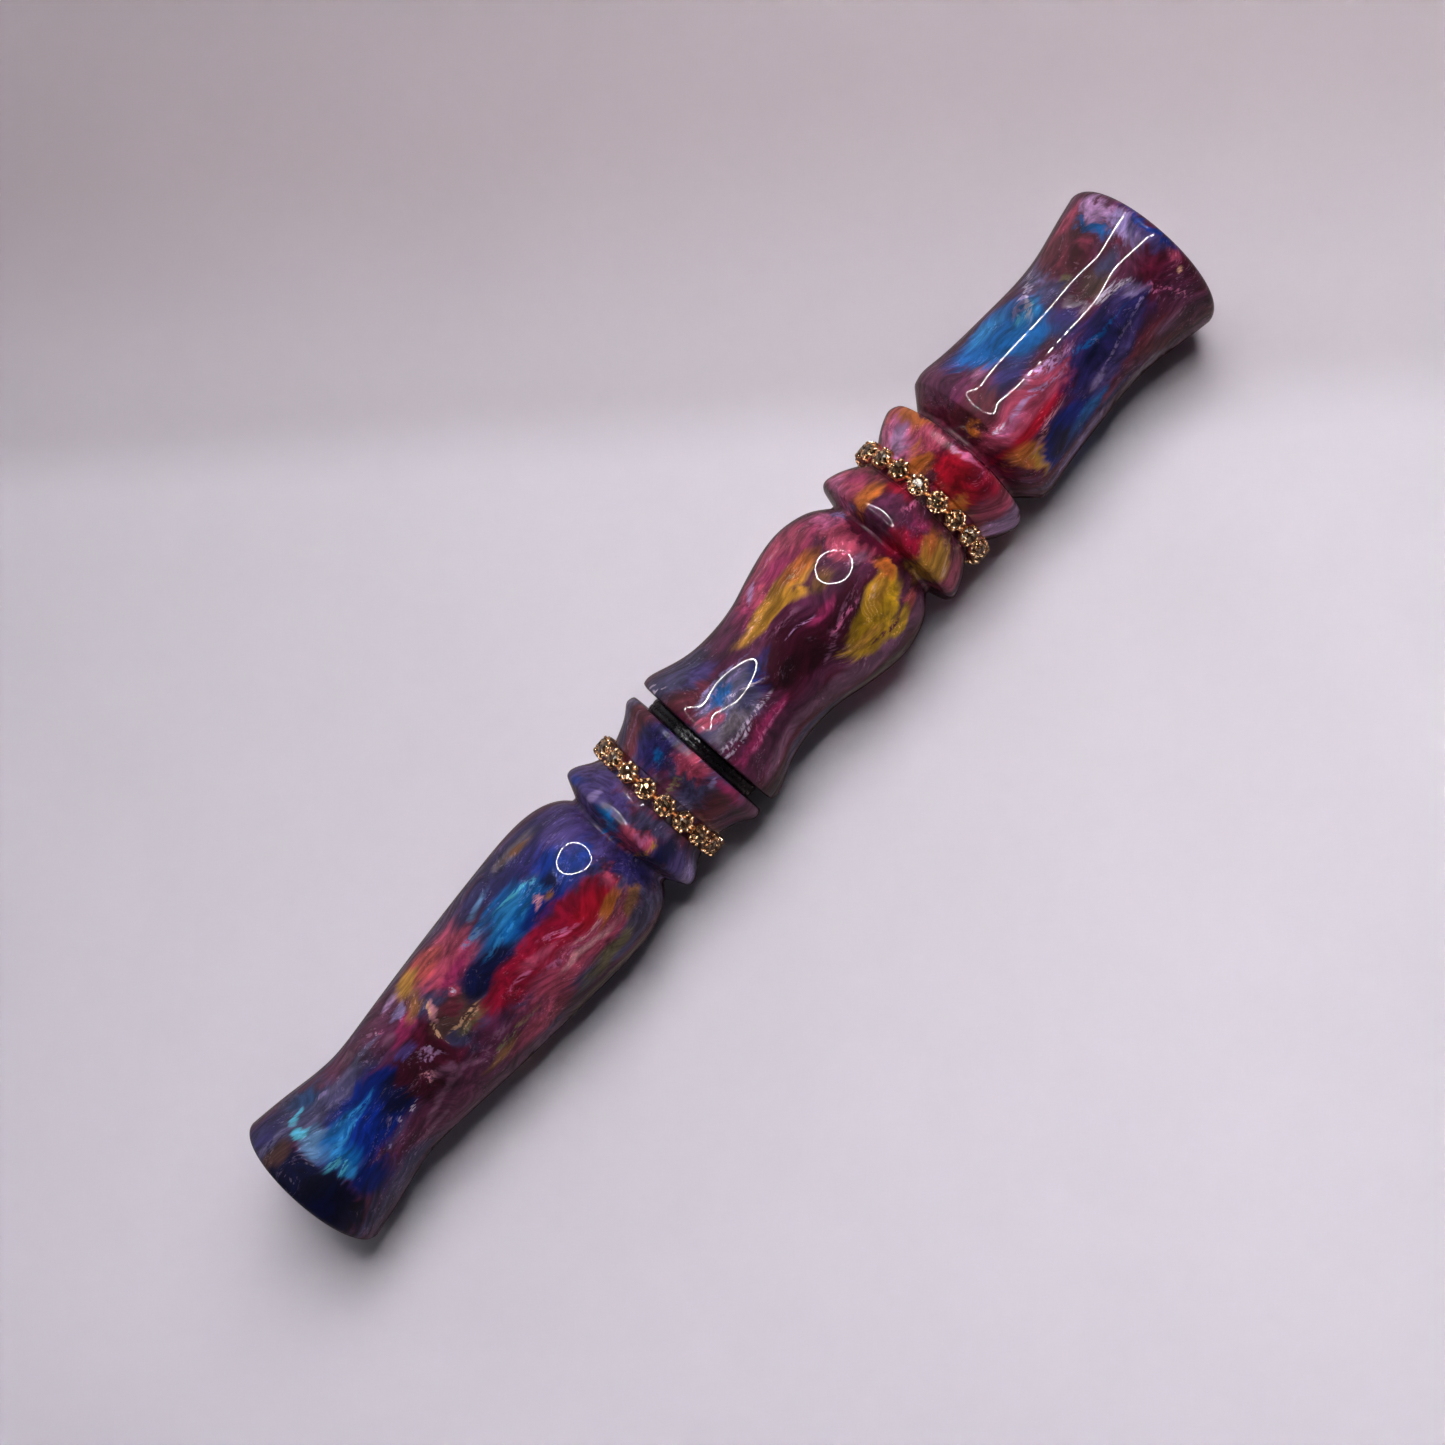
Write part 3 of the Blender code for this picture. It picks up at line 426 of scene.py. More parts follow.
BARREL_STROKES = [
    # bell
    ("slate", 83, 55, 7.0, 4.6, 0, 0.5), ("violet", 85, 42, 4.2, 2.0, 0, 0.7),
    ("maroon", 81, 32, 4.0, 1.8, -10, 0.6), ("slate_light", 84, 7, 8.2, 3.9, 0, 0.4),
    ("gray", 82.6, -4, 5.4, 1.4, 0, 0.7), ("azure", 84.2, 16, 2.7, 1.2, 0, 0.6),
    ("slate", 87, -2, 4.4, 1.4, 0, 0.8), ("royal", 91, 3, 3.4, 2.7, 20, 0.5),
    ("deep_teal", 91.5, 4, 1.8, 1.6, 0, 0.8), ("rose", 80.6, 10, 1.8, 1.6, 0, 0.8),
    ("pearl", 84, -11, 6.4, 0.36, 1, 0.6), ("pearl", 87.6, 4, 3.4, 0.36, -22, 0.6),
    ("lavender", 84, 19, 5.6, 0.3, -5, 0.7), ("pearl", 81, -16, 2.8, 0.3, 4, 0.7),
    ("lavender", 86, 26, 5.0, 0.4, 0, 0.7), ("magenta", 85, -24, 6.4, 1.1, 2, 0.6),
    ("pink", 85.4, -26, 3.8, 0.35, 3, 0.7), ("plum", 85, -37, 7.0, 2.2, 0, 0.7),
    ("mauve", 87, -49, 10.0, 1.7, 0, 0.8), ("burgundy", 80, -62, 4.8, 2.8, 0, 0.7),
    ("pearl", 79.4, 54, 1.2, 0.28, -40, 0.6), ("pearl", 79, 62, 1.0, 0.25, -30, 0.6),
    ("wine", 79.6, 22, 1.6, 2.0, 0, 0.8),
    # bulge
    ("plum", 91, 50, 5.4, 4.6, 0, 0.7), ("magenta", 101, 57, 9.5, 4.6, 0, 0.5),
    ("rose", 101, 64, 8.6, 2.8, 0, 0.8), ("burgundy", 97, -4, 9.4, 5.4, 4, 0.4),
    ("plum", 102, 14, 5.4, 2.6, 0, 0.7), ("mauve", 98, -51, 12.0, 2.2, 0, 0.7),
    ("magenta", 99, 50, 4.6, 1.5, 0, 0.8), ("pink", 99, 63, 5.4, 0.4, -5, 0.7),
    ("blush", 103, 58, 5.4, 0.3, -6, 0.7), ("lilac", 96.4, 57, 1.8, 1.2, 40, 0.8),
    ("rose", 97, 47, 2.0, 1.4, 0, 0.8), ("rose", 105, 52, 3.4, 2.4, 0, 0.8),
    ("gold", 98, 34, 8.4, 1.6, -5, 0.5), ("gold", 95, 36, 3.0, 0.8, -6, 0.8),
    ("orange", 103, 34, 4.0, 1.2, -2, 0.7), ("gold", 99.6, 26, 3.0, 1.4, -25, 0.6),
    ("cream", 94, 38, 1.8, 0.3, -4, 0.7), ("cream", 101.6, 33, 2.2, 0.3, -5, 0.7),
    ("bronze", 104, 17, 2.8, 1.4, 0, 0.8), ("lilac", 98, 5, 2.4, 0.25, -8, 0.7),
    ("pink", 101, -12, 3.2, 0.3, 8, 0.7), ("mauve", 98, -20, 2.2, 0.6, 50, 0.7),
    ("mauve", 96.6, 17, 2.6, 0.5, -8, 0.7), ("magenta", 100, 2, 3.2, 0.9, 6, 0.8),
    ("mauve", 103, -6, 3.2, 0.4, 15, 0.8), ("slate", 90, -70, 12.0, 1.6, 0, 0.9),
    ("yellow", 105, -27, 6.8, 2.9, 14, 0.4), ("gold", 106.4, -19, 4.0, 1.2, 14, 0.8),
    ("gold", 102, -32, 3.4, 0.8, 0, 0.7), ("yellow", 106.6, -44, 3.4, 1.2, -4, 0.6),
    ("maroon", 104.4, -38.5, 3.2, 0.4, -4, 0.7), ("cream", 106, -17, 1.8, 0.3, 16, 0.7),
    ("orange", 110, -11, 2.2, 2.4, 0, 0.7), ("rose", 109.6, 24, 2.4, 5.4, 0, 0.6),
    ("pink", 110.2, 52, 2.0, 2.8, 0, 0.7), ("mauve", 109, 8, 1.7, 1.2, 0, 0.8),
    ("coral", 110, -44, 1.6, 1.4, 0, 0.8), ("olive", 100, -72, 9.0, 1.2, 0, 0.9),
    ("wine", 112.4, 0, 1.1, 40, 0, 0.5), ("lavender", 112, 52, 0.9, 2.2, 0, 0.8),
    # middle flange
    ("rose", 116, 55, 3.6, 5.6, 0, 0.5), ("pink", 114.6, 60, 1.8, 3.6, 0, 0.8),
    ("magenta", 117.6, 50, 1.7, 2.4, 0, 0.8), ("plum", 115.8, 12, 3.4, 3.4, 0, 0.6),
    ("orange", 116.2, 30, 3.2, 1.5, 6, 0.6), ("pink", 117.8, 3, 1.4, 0.6, 0, 0.7),
    ("crimson", 114, -9, 2.2, 3.0, 0, 0.6), ("gold", 115, -36, 3.4, 3.4, 0, 0.5),
    ("orange", 116.6, -24, 2.4, 1.6, 0, 0.8), ("magenta", 117.6, -12, 1.5, 1.8, 0, 0.8),
    ("rose", 115.6, -60, 3.6, 2.6, 0, 0.7), ("cream", 115.6, -45, 1.2, 0.5, 20, 0.7),
    ("crimson", 119.6, 20, 1.6, 3.0, 0, 0.8), ("mauve", 115.4, -76, 3.4, 1.8, 0, 0.8),
    # crown flange
    ("pink", 124.4, 54, 3.4, 6.2, 0, 0.5), ("orange", 126.9, 50, 1.7, 5.2, 0, 0.6),
    ("lilac", 124, 48, 1.5, 2.6, 10, 0.8), ("orange", 123.6, 24, 2.0, 2.6, 0, 0.7),
    ("rose", 126.2, 26, 2.0, 3.0, 0, 0.7), ("red", 124.8, -9, 4.0, 4.2, 0, 0.4),
    ("crimson", 126.8, -24, 2.2, 4.6, 0, 0.6), ("orange", 122.8, -24, 1.6, 1.5, 0, 0.7),
    ("rose", 125.4, -44, 3.6, 2.6, 0, 0.7), ("lilac", 125.6, -66, 3.4, 3.4, 0, 0.6),
    ("pink", 127, -2, 0.7, 3.6, 0, 0.8), ("coral", 126, 74, 2.4, 2.2, 0, 0.8),
    ("wine", 129.4, 0, 1.5, 40, 0, 0.4),
    # mouthpiece: plum chamfer, azure cloud, slate and maroon beyond it
    ("maroon", 131.6, 14, 2.6, 8.0, 0, 0.6), ("orange", 130.6, 10, 1.2, 1.8, 0, 0.9),
    ("plum", 133.6, 52, 4.4, 6.0, 0, 0.6), ("maroon", 134, 15, 2.8, 2.6, 0, 0.6),
    ("indigo", 137, 53, 2.8, 3.0, 0, 0.7), ("indigo", 140, 12, 4.6, 2.2, 0, 0.6),
    ("indigo", 148, 14, 4.2, 3.4, 0, 0.7), ("azure", 143, 44, 7.2, 5.2, -8, 0.4),
    ("azure", 144, 18, 4.0, 2.0, 0, 0.7), ("sky", 142, 55, 4.0, 2.4, 0, 0.9),
    ("sky", 147, 38, 4.4, 1.2, 14, 0.7), ("mauve", 136.8, 30, 1.8, 1.4, 0, 0.8),
    ("cyan", 146.6, 40, 2.6, 0.4, 20, 0.7), ("slate_light", 152, 60, 3.8, 4.2, 0, 0.7),
    ("slate", 151, 36, 3.0, 2.2, 0, 0.8), ("pearl", 149, 53, 5.2, 0.6, 45, 0.6),
    ("lavender", 147.6, 49, 3.2, 0.4, 30, 0.7), ("brown", 155, 14, 3.6, 2.4, 0, 0.7),
    ("slate", 158, 13, 2.4, 1.6, 0, 0.8), ("gray", 151.4, 15, 0.8, 2.4, 0, 1.0),
    ("maroon", 157, 49, 5.2, 5.0, 0, 0.5), ("rose", 158.4, 37, 1.0, 1.6, 0, 0.8),
    ("olive", 153.2, 35, 1.2, 1.0, 0, 0.8), ("rose", 160, 66, 3.4, 1.6, 0, 0.8),
    ("azure", 160.6, 41, 1.1, 3.8, 0, 0.6), ("lilac", 162.8, 46, 1.9, 3.8, 0, 0.6),
    ("lavender", 162.6, 20, 1.8, 3.2, 0, 0.7), ("violet", 163.4, 2, 1.6, 4.0, 0, 0.7),
    ("royal", 164.6, 10, 0.8, 5.0, 0, 0.8),
    # rose streak and gold below it
    ("rose", 137.6, -9, 9.8, 2.2, -6, 0.5), ("red", 136, -19, 7.6, 1.1, 0, 0.7),
    ("crimson", 143, -20, 5.4, 0.8, 4, 0.8), ("pink", 134.6, -6, 3.4, 0.8, -6, 0.8),
    ("lilac", 139, -7, 4.4, 0.35, -8, 0.6), ("lilac", 142.6, -2, 3.4, 0.45, -4, 0.7),
    ("pearl", 133.6, -3, 1.6, 0.3, -8, 0.7), ("orange", 133.2, -31, 3.2, 2.4, -30, 0.6),
    ("gold", 134.2, -40, 1.7, 2.8, 0, 0.7), ("blush", 138, -27, 4.0, 0.5, 10, 0.7),
    # deep blue and purple pools
    ("cobalt", 140, -44, 6.4, 3.2, 0, 0.35), ("navy", 137.4, -43, 2.8, 2.4, 0, 0.7),
    ("azure", 142.6, -49, 4.6, 1.7, 0, 0.8), ("indigo", 150.6, -22, 9.4, 4.0, 6, 0.4),
    ("violet", 147, -38, 4.0, 2.4, 0, 0.8), ("lavender", 146.4, -35, 2.2, 0.9, 10, 0.9),
    ("violet", 154, -31, 5.6, 1.1, 14, 0.8), ("lavender", 152, -27, 4.0, 0.3, 12, 0.8),
    ("indigo", 151, -6, 5.0, 2.0, 0, 0.6), ("azure", 149.6, -10, 5.4, 0.4, -8, 0.8),
    ("navy", 147.6, -16, 3.4, 0.8, 10, 0.8), ("pearl", 156, 0, 2.6, 0.7, -26, 0.6),
    ("lavender", 157.4, -12, 2.6, 0.9, -20, 0.8), ("violet", 155, -8, 1.8, 1.0, 0, 0.8),
    ("lavender", 157.8, -20, 2.6, 0.3, 10, 0.7), ("wine", 161, -16, 2.8, 4.0, -20, 0.6),
    ("plum", 161.6, -40, 3.6, 5.0, 0, 0.6), ("maroon", 156.6, -52, 5.4, 3.2, 0, 0.7),
    ("pink", 160.2, -24, 2.8, 0.3, -48, 0.7), ("pink", 161.6, -30, 2.6, 0.25, -62, 0.7),
    ("mauve", 158.6, -50, 2.8, 1.6, 0, 0.9), ("indigo", 146, -62, 7.4, 0.9, 0, 0.8),
    ("lavender", 140, -68, 9.0, 1.3, 0, 0.9), ("gray", 152, -74, 8.0, 1.6, 0, 0.9),
    ("rose", 163.6, -12, 0.9, 1.3, 0, 1.0), ("cream", 163, -22, 0.7, 0.4, 30, 0.7),
]

SURFACE_R = 10.5            # radius at which an angle is turned into millimetres of surface
SEAM = 90.0                 # the swirl repeats on the far side, half a turn round
FLECK_WIDTH = 0.75          # strokes narrower than this, in mm, are clusters of flecks
STROKE_SPREAD, FLECK_SPREAD = 1.18, 1.4     # over the sizes in the tables, for what the fray takes off
EDGE_BLUR = 0.85            # of the softness in the tables
SEAM_MARGIN = 8.0           # degrees: a stroke this near the seam is painted on both sides of it
BAND_STROKE = 20.0          # strokes at least this wide, in mm, go all the way round and need no second side


def swirl_place(tree, spot):
    """Unrolled place on the surface in millimetres: x along the axis, y round it, once each half turn."""
    centred = tree.vector("SUBTRACT", spot, (START_X, 0.0, AXIS_Z))
    facing = tree.vector("DOT_PRODUCT", centred, tuple(TO_CAMERA), "Value")
    rising = tree.vector("DOT_PRODUCT", centred, tuple(UPHILL), "Value")
    angle = tree.math("ARCTAN2", rising, facing)
    quarter_turn = math.radians(SEAM)
    angle = tree.math("WRAP", angle, quarter_turn, -quarter_turn)
    along = tree.add("ShaderNodeSeparateXYZ", None, {"Vector": centred}, "X")
    return tree.add("ShaderNodeCombineXYZ", None, {
        "X": tree.math("MULTIPLY", along, 1 / MM), "Y": tree.math("MULTIPLY", angle, SURFACE_R)})


def stroke_mask(tree, at, fray, x, angle, length, width, turn, softness):
    """1 in the middle of an ellipse, falling to 0 at its edge, which the fray eats into in streaks."""
    spread = STROKE_SPREAD if width > FLECK_WIDTH else FLECK_SPREAD
    local = tree.add("ShaderNodeMapping", {"vector_type": "TEXTURE"}, {
        "Vector": at, "Location": (x, math.radians(angle) * SURFACE_R, 0.0),
        "Rotation": (0.0, 0.0, math.radians(turn)), "Scale": (length * spread, width * spread, 1.0)})
    inside = tree.add("ShaderNodeTexGradient", {"gradient_type": "SPHERICAL"}, {"Vector": local}, "Fac")
    return tree.range(tree.math("SUBTRACT", inside, fray), 0.0, softness * EDGE_BLUR)


def moved(tree, noise, amount):
    """A noise colour as a shift that is 0 on the average."""
    return tree.scaled(tree.vector("SUBTRACT", noise, (0.5,) * 3), amount)


def resin_flow(tree, spot):
    """The flow of the pour: places bent by a slow eddy, and the same ones drawn out along the axis."""
    eddy = tree.noise(spot, 65.0, 2.0, output="Color")
    bent = tree.vector("ADD", spot, moved(tree, eddy, (0.010, 0.014, 0.014)))
    return bent, tree.scaled(bent, (0.14, 1.0, 1.0))


def resin_colour(tree, spot, bent, drawn, strokes, ground):
    """The swirl: a ground of two colours, then the strokes over it with frayed, combed edges.
    The narrowest strokes are clusters of flecks."""
    soft = tree.noise(spot, 120.0, 2.0, output="Color")
    comb = tree.noise(drawn, 700.0, 3.0, 0.55, output="Color")
    drift = tree.vector("ADD", moved(tree, soft, (4.5, 3.6, 0.0)), moved(tree, comb, (5.0, 0.9, 0.0)))
    at = tree.vector("ADD", swirl_place(tree, spot), drift)
    at = tree.vector("MULTIPLY", at, (1.0, 1.0, 0.0))
    fray = tree.range(tree.noise(drawn, 1300.0, 3.0, 0.6), 0.36, 0.66, 0.0, 0.16, False)
    flecks = tree.range(tree.noise(tree.scaled(bent, (0.3, 1.0, 1.0)), 2300.0, 3.0, 0.6), 0.42, 0.54)
    blotch = tree.noise(drawn, 300.0, 5.0)
    colour = tree.mix(tree.range(blotch, 0.42, 0.58), srgb(*PAINT[ground[0]]), srgb(*PAINT[ground[1]]))
    for name, x, angle, length, width, turn, softness in strokes:
        reach = math.degrees(width / SURFACE_R) if width < BAND_STROKE else 0.0
        angles = [angle]
        if abs(angle) + reach > SEAM - SEAM_MARGIN:
            angles.append(angle - math.copysign(2 * SEAM, angle))
        for side in angles:
            mask = stroke_mask(tree, at, fray, x, side, length, width, turn, softness)
            if width < FLECK_WIDTH:
                mask = tree.math("MULTIPLY", mask, flecks)
            colour = tree.mix(mask, colour, srgb(*PAINT[name]))
    return colour


def pearl(tree, bent, drawn, colour):
    """Mica in the resin: silky streaks along the flow, clouds, and pale lines and flakes in places. They are
    partly the mica's own pattern and partly painted sheen and painted glints, brightness that stands in for
    light the flakes catch.
    """
    silk = tree.noise(drawn, 1100.0, 5.0, 0.6)
    cloud = tree.noise(tree.scaled(bent, (0.45, 1.0, 1.0)), 300.0, 4.0, 0.6)
    # painted sheen, in part: the colour is made brighter and darker along the mica's streaks and clouds
    light = tree.math("MULTIPLY", tree.range(silk, 0.38, 0.64, 0.52, 1.2, False),
                      tree.range(cloud, 0.34, 0.66, 0.44, 1.28, False))
    shaded = tree.vector("SCALE", colour)
    tree.feed(shaded.node.inputs["Scale"], light)
    # pale lines and flakes: partly the mica's own, partly painted glints brighter than the resin under them
    ridge = tree.math("ABSOLUTE", tree.math("SUBTRACT", tree.noise(drawn, 520.0, 5.0, 0.6), 0.5))
    line = tree.range(ridge, 0.008, 0.0)
    flake_glint = tree.range(tree.noise(tree.scaled(bent, (0.4, 1.0, 1.0)), 3200.0, 2.0, 0.5), 0.60, 0.68)
    where = tree.range(tree.noise(bent, 230.0, 3.0), 0.5, 0.6)
    line = tree.math("MULTIPLY", tree.math("MAXIMUM", line, flake_glint), tree.math("MULTIPLY", where, 0.6))
    lighter = tree.vector("ADD", tree.scaled(shaded, (2.0, 2.0, 2.0)), (0.13, 0.10, 0.13))
    return tree.mix(line, shaded, lighter), silk


def resin(name, strokes, ground):
    tree = Tree(name)
    spot = tree.object_place()
    bent, drawn = resin_flow(tree, spot)
    colour = resin_colour(tree, spot, bent, drawn, strokes, ground)
    colour, silk = pearl(tree, bent, drawn, colour)
    tree.set(Base_Color=colour, Metallic=0.1, Roughness=tree.range(silk, 0.35, 0.65, 0.55, 0.35, False),
             IOR=1.5, Specular_IOR_Level=0.2, Coat_Weight=1.0, Coat_Roughness=0.015, Coat_IOR=1.38)
    tree.set(Normal=tree.bump(silk, 0.18, 0.0001),
             Coat_Normal=tree.bump(tree.noise(spot, 420.0, 2.0, 0.5), 0.02, 0.0001))
    return tree.material


def bore_resin(name, colour_a, colour_b):
    """The drilled inside: the same resin, unpolished."""
    tree = Tree(name)
    spot = tree.object_place()
    blotch = tree.noise(tree.scaled(spot, (0.5, 1.0, 1.0)), 160.0, 5.0, 0.6)
    rings = tree.noise(tree.scaled(spot, (14.0, 0.3, 0.3)), 160.0, 2.0)
    colour = tree.mix(tree.range(blotch, 0.4, 0.6), srgb(*PAINT[colour_a]), srgb(*PAINT[colour_b]))
    tree.set(Base_Color=colour, Roughness=tree.range(rings, 0.3, 0.7, 0.4, 0.6, False),
             Normal=tree.bump(rings, 0.35, 0.00008))
    return tree.material


def metal_finish():
    tree = Tree("rose_gold_plate")
    spot = tree.object_place()
    worn = tree.noise(spot, 700.0, 4.0)
    colour = tree.mix(tree.range(worn, 0.35, 0.7), srgb(246, 210, 172), srgb(226, 176, 136))
    tree.set(Base_Color=colour, Metallic=1.0, Roughness=tree.range(worn, 0.3, 0.7, 0.12, 0.28, False),
             Normal=tree.bump(tree.noise(spot, 2200.0, 3.0), 0.12, 0.00005))
    return tree.material


def stone_finish():
    """Foiled cut glass, in the mesh's own millimetres: its facets throw back lights and darks, and each
    facet's colour, from dark brown to bright cream, is a painted glint and painted shade.
    """
    tree = Tree("foiled_champagne_glass")
    spot = tree.object_place()
    facet = tree.add("ShaderNodeTexVoronoi", None, {"Vector": spot, "Scale": 2.6}, "Color")
    tone = tree.add("ShaderNodeSeparateColor", None, {"Color": facet}, "Red")
    lean = moved(tree, facet, (0.9, 0.9, 0.9))
    normal = tree.vector("NORMALIZE", tree.vector("ADD", tree.add(
        "ShaderNodeNewGeometry", output="True Normal"), lean))
    # painted glints and shade: each facet gets a tone between dark brown and bright cream
    colour = tree.mix(tree.range(tone, 0.35, 0.95), srgb(92, 54, 30), srgb(252, 222, 176))
    tree.set(Base_Color=colour, Metallic=0.9, Roughness=0.08, Normal=normal,
             IOR=1.55, Coat_Weight=1.0, Coat_Roughness=0.01, Coat_IOR=1.6)
    return tree.material


def rubber_finish():
    tree = Tree("black_rubber")
    spot = tree.object_place()
    grain = tree.noise(spot, 1600.0, 5.0, 0.65)
    colour = tree.mix(grain, srgb(9, 9, 11), srgb(19, 18, 21))
    tree.set(Base_Color=colour, Roughness=tree.range(grain, 0.3, 0.7, 0.2, 0.36, False),
             Normal=tree.bump(grain, 0.15, 0.00006))
    return tree.material


def board_finish():
    tree = Tree("tone_board_plastic")
    spot = tree.object_place()
    grain = tree.noise(spot, 2600.0, 4.0)
    flow = tree.noise(tree.scaled(spot, (0.15, 1.0, 1.0)), 420.0, 4.0)
    colour = tree.mix(tree.range(flow, 0.35, 0.65), srgb(34, 34, 44), srgb(52, 52, 64))
    tree.set(Base_Color=colour, Roughness=tree.range(grain, 0.3, 0.7, 0.26, 0.42, False), IOR=1.49,
             Normal=tree.bump(grain, 0.2, 0.00005))
    return tree.material


def film_finish():
    tree = Tree("reed_film")
    spot = tree.object_place()
    brushed = tree.noise(tree.scaled(spot, (1.0, 12.0, 1.0)), 420.0, 4.0)
    haze = tree.noise(spot, 300.0, 3.0)
    colour = tree.mix(haze, srgb(196, 202, 212), srgb(226, 230, 236))
    tree.set(Base_Color=colour, Roughness=tree.range(brushed, 0.3, 0.7, 0.25, 0.42, False),
             Alpha=0.82, Normal=tree.bump(brushed, 0.15, 0.00004))
    return tree.material


def cork_finish():
    tree = Tree("cork")
    spot = tree.object_place()
    cells = tree.add("ShaderNodeTexVoronoi", None, {"Vector": spot, "Scale": 1500.0}, "Color")
    tone = tree.add("ShaderNodeSeparateColor", None, {"Color": cells}, "Red")
    pores = tree.noise(spot, 1100.0, 5.0, 0.7)
    colour = tree.mix(tone, srgb(206, 160, 108), srgb(168, 116, 70))
    colour = tree.mix(tree.range(pores, 0.62, 0.7), colour, srgb(84, 50, 30))
    tree.set(Base_Color=colour, Roughness=0.9, Normal=tree.bump(tree.math("ADD", tone, pores), 0.5, 0.0002))
    return tree.material


# ---- turned halves and seals ----

TURN_STEPS, SEAL_STEPS, O_RING_SIDES = 240, 160, 20
SWEEP_STEP = 0.38
FLANGE_STEP = 0.16          # finer, for the tight bends of the flanges


def band_edges(on):
    """Where a chain's groove starts and ends along the axis."""
    middle, _ = BANDS[on]
    return middle - BAND_WIDTH / 2, middle + BAND_WIDTH / 2


def o_groove(middle):
    low, high = middle - O_GROOVE_HALF, middle + O_GROOVE_HALF
    return [(low, TENON_R), (low, O_GROOVE_R), (high, O_GROOVE_R), (high, TENON_R)]


def make_barrel():
    start, end = band_edges("barrel")
    floor = BANDS["barrel"][1]
    outline = [
        (BELL_X, BELL_FACE_R), *smooth_sweep(BARREL_BODY, SWEEP_STEP), BARREL_NECK,
        *smooth_sweep(BARREL_FLANGE, FLANGE_STEP), (start, FLANGE_FOOT_R), (start, floor), (end, floor),
        *smooth_sweep(CROWN_FLANGE, FLANGE_STEP), *CROWN_NECK, *smooth_sweep(MOUTHPIECE, SWEEP_STEP),
        *quarter(LENGTH - MOUTH_LIP_R, RIM_R - MOUTH_LIP_R, MOUTH_LIP_R, 90)[1:],
        (LENGTH, BORE_R + CHAMFER), (LENGTH - CHAMFER, BORE_R),
        (BELL_X + CHAMFER, BORE_R), (BELL_X, BORE_R + CHAMFER),
    ]
    made = turned("swirled_barrel", eased(outline), TURN_STEPS,
                  resin("barrel_swirl", BARREL_STROKES, ("plum", "wine")),
                  bore_resin("barrel_bore", "plum", "maroon"), BORE_R + 0.01)
    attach(made, "barrel")
    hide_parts("barrel")


def make_insert():
    start, end = band_edges("insert")
    floor = BANDS["insert"][1]
    outline = [
        *quarter(EXHAUST_LIP_R, INSERT_BODY[0][1] - EXHAUST_LIP_R, EXHAUST_LIP_R, 180)[:-1],
        *smooth_sweep(INSERT_BODY, SWEEP_STEP), INSERT_NECK, *smooth_sweep(INSERT_FLANGE, FLANGE_STEP),
        (start, floor), (end, floor), *smooth_sweep(INSERT_COLLAR, FLANGE_STEP), (SHOULDER_X, SHOULDER_R),
        (SHOULDER_X, TENON_R), *o_groove(O_RING_X["rear_o_ring"]), *o_groove(O_RING_X["front_o_ring"]),
        (TENON_END_X - CHAMFER, TENON_R), (TENON_END_X, TENON_R - CHAMFER),
        (TENON_END_X, EXHAUST_R), (CHAMFER, EXHAUST_R), (0.0, EXHAUST_R + CHAMFER),
    ]
    made = turned("swirled_insert", eased(outline), TURN_STEPS,
                  resin("insert_swirl", INSERT_STROKES, ("slate", "plum")),
                  bore_resin("insert_bore", "indigo", "slate"), EXHAUST_R + 0.01)
    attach(made, "insert")
    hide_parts("insert")


def make_joint_ring(rubber):
    """A rounded rubber ring with a shallow crease round its middle."""
    low, high = SHOULDER_X + JOINT_GAP, BELL_X - JOINT_GAP
    middle = (low + high) / 2
    edge, edge_r = JOINT_RING_EDGE_R, JOINT_RING_R - JOINT_RING_EDGE_R
    outline = [
        *quarter(low + edge, edge_r, edge, 180), (middle - CREASE_HALF, JOINT_RING_R),
        (middle, JOINT_RING_R - CREASE_DEPTH), (middle + CREASE_HALF, JOINT_RING_R),
        *quarter(high - edge, edge_r, edge, 90), (high, JOINT_RING_BORE_R), (low, JOINT_RING_BORE_R),
    ]
    made = turned("rubber_joint_ring", eased(outline, 0.08), SEAL_STEPS, rubber)
    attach(made, "joint_ring")
    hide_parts("joint_ring")


def make_o_rings(rubber):
    for node, x in O_RING_X.items():
        outline = []
        for step in range(O_RING_SIDES):
            spot = around(O_RING_WIRE_R, 2 * math.pi * step / O_RING_SIDES)
            outline.append((x + spot.x, O_RING_MIDDLE_R + spot.y))
        made = turned("rubber_" + node, outline, SEAL_STEPS, rubber)
        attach(made, "insert")
        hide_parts(node)


# ---- stone chains ----

CUP_R = 1.4
CUP_SIDES = 24
PRONGS = 8
CUP_OUTLINE = [     # (radius, height) from the middle of its back to the middle of its seat
    (0.0, 0.0), (0.85, 0.0), (1.12, 0.08), (1.3, 0.3), (1.38, 0.6), (CUP_R, 1.05), (1.37, 1.14),
    (1.3, 1.12), (1.27, 0.9), (1.2, 0.62), (0.0, 0.6),
]
PRONG_PATH = [(1.36, 0.5), (1.44, 0.95), (1.4, 1.32), (1.22, 1.56), (1.0, 1.68)]
PRONG_RADII = [0.16, 0.18, 0.2, 0.24, 0.2]
STONE_GIRDLE_R, STONE_MIDDLE_R, STONE_TABLE_R, STONE_CULET_R = 1.24, 1.0, 0.66, 0.5
STONE_HEIGHTS = (0.64, 1.12, 1.2, 1.58, 1.86)      # culet, under and over the girdle, middle, table
LINK_HEIGHT = 0.36
LINK_PARTS = (0.6, 0.85, 1.0, 1.15, 1.4)           # places along the bar, 1 half-way to the next cup
LINK_RADII = (0.3, 0.3, 0.42, 0.3, 0.3)
BAR_SIDES = 8
BAR_TIP = 0.7               # length of a bar's pointed end, against its radius


def bridge(shape, rings, steps):
    """Adds the faces from each ring of vertices to the next. A ring may be a single vertex."""
    for low, high in zip(rings, rings[1:]):
        for k in range(steps):
            n = (k + 1) % steps
            corners = [low[k % len(low)], low[n % len(low)], high[n % len(high)], high[k % len(high)]]
            shape.faces.new(list(dict.fromkeys(corners)))


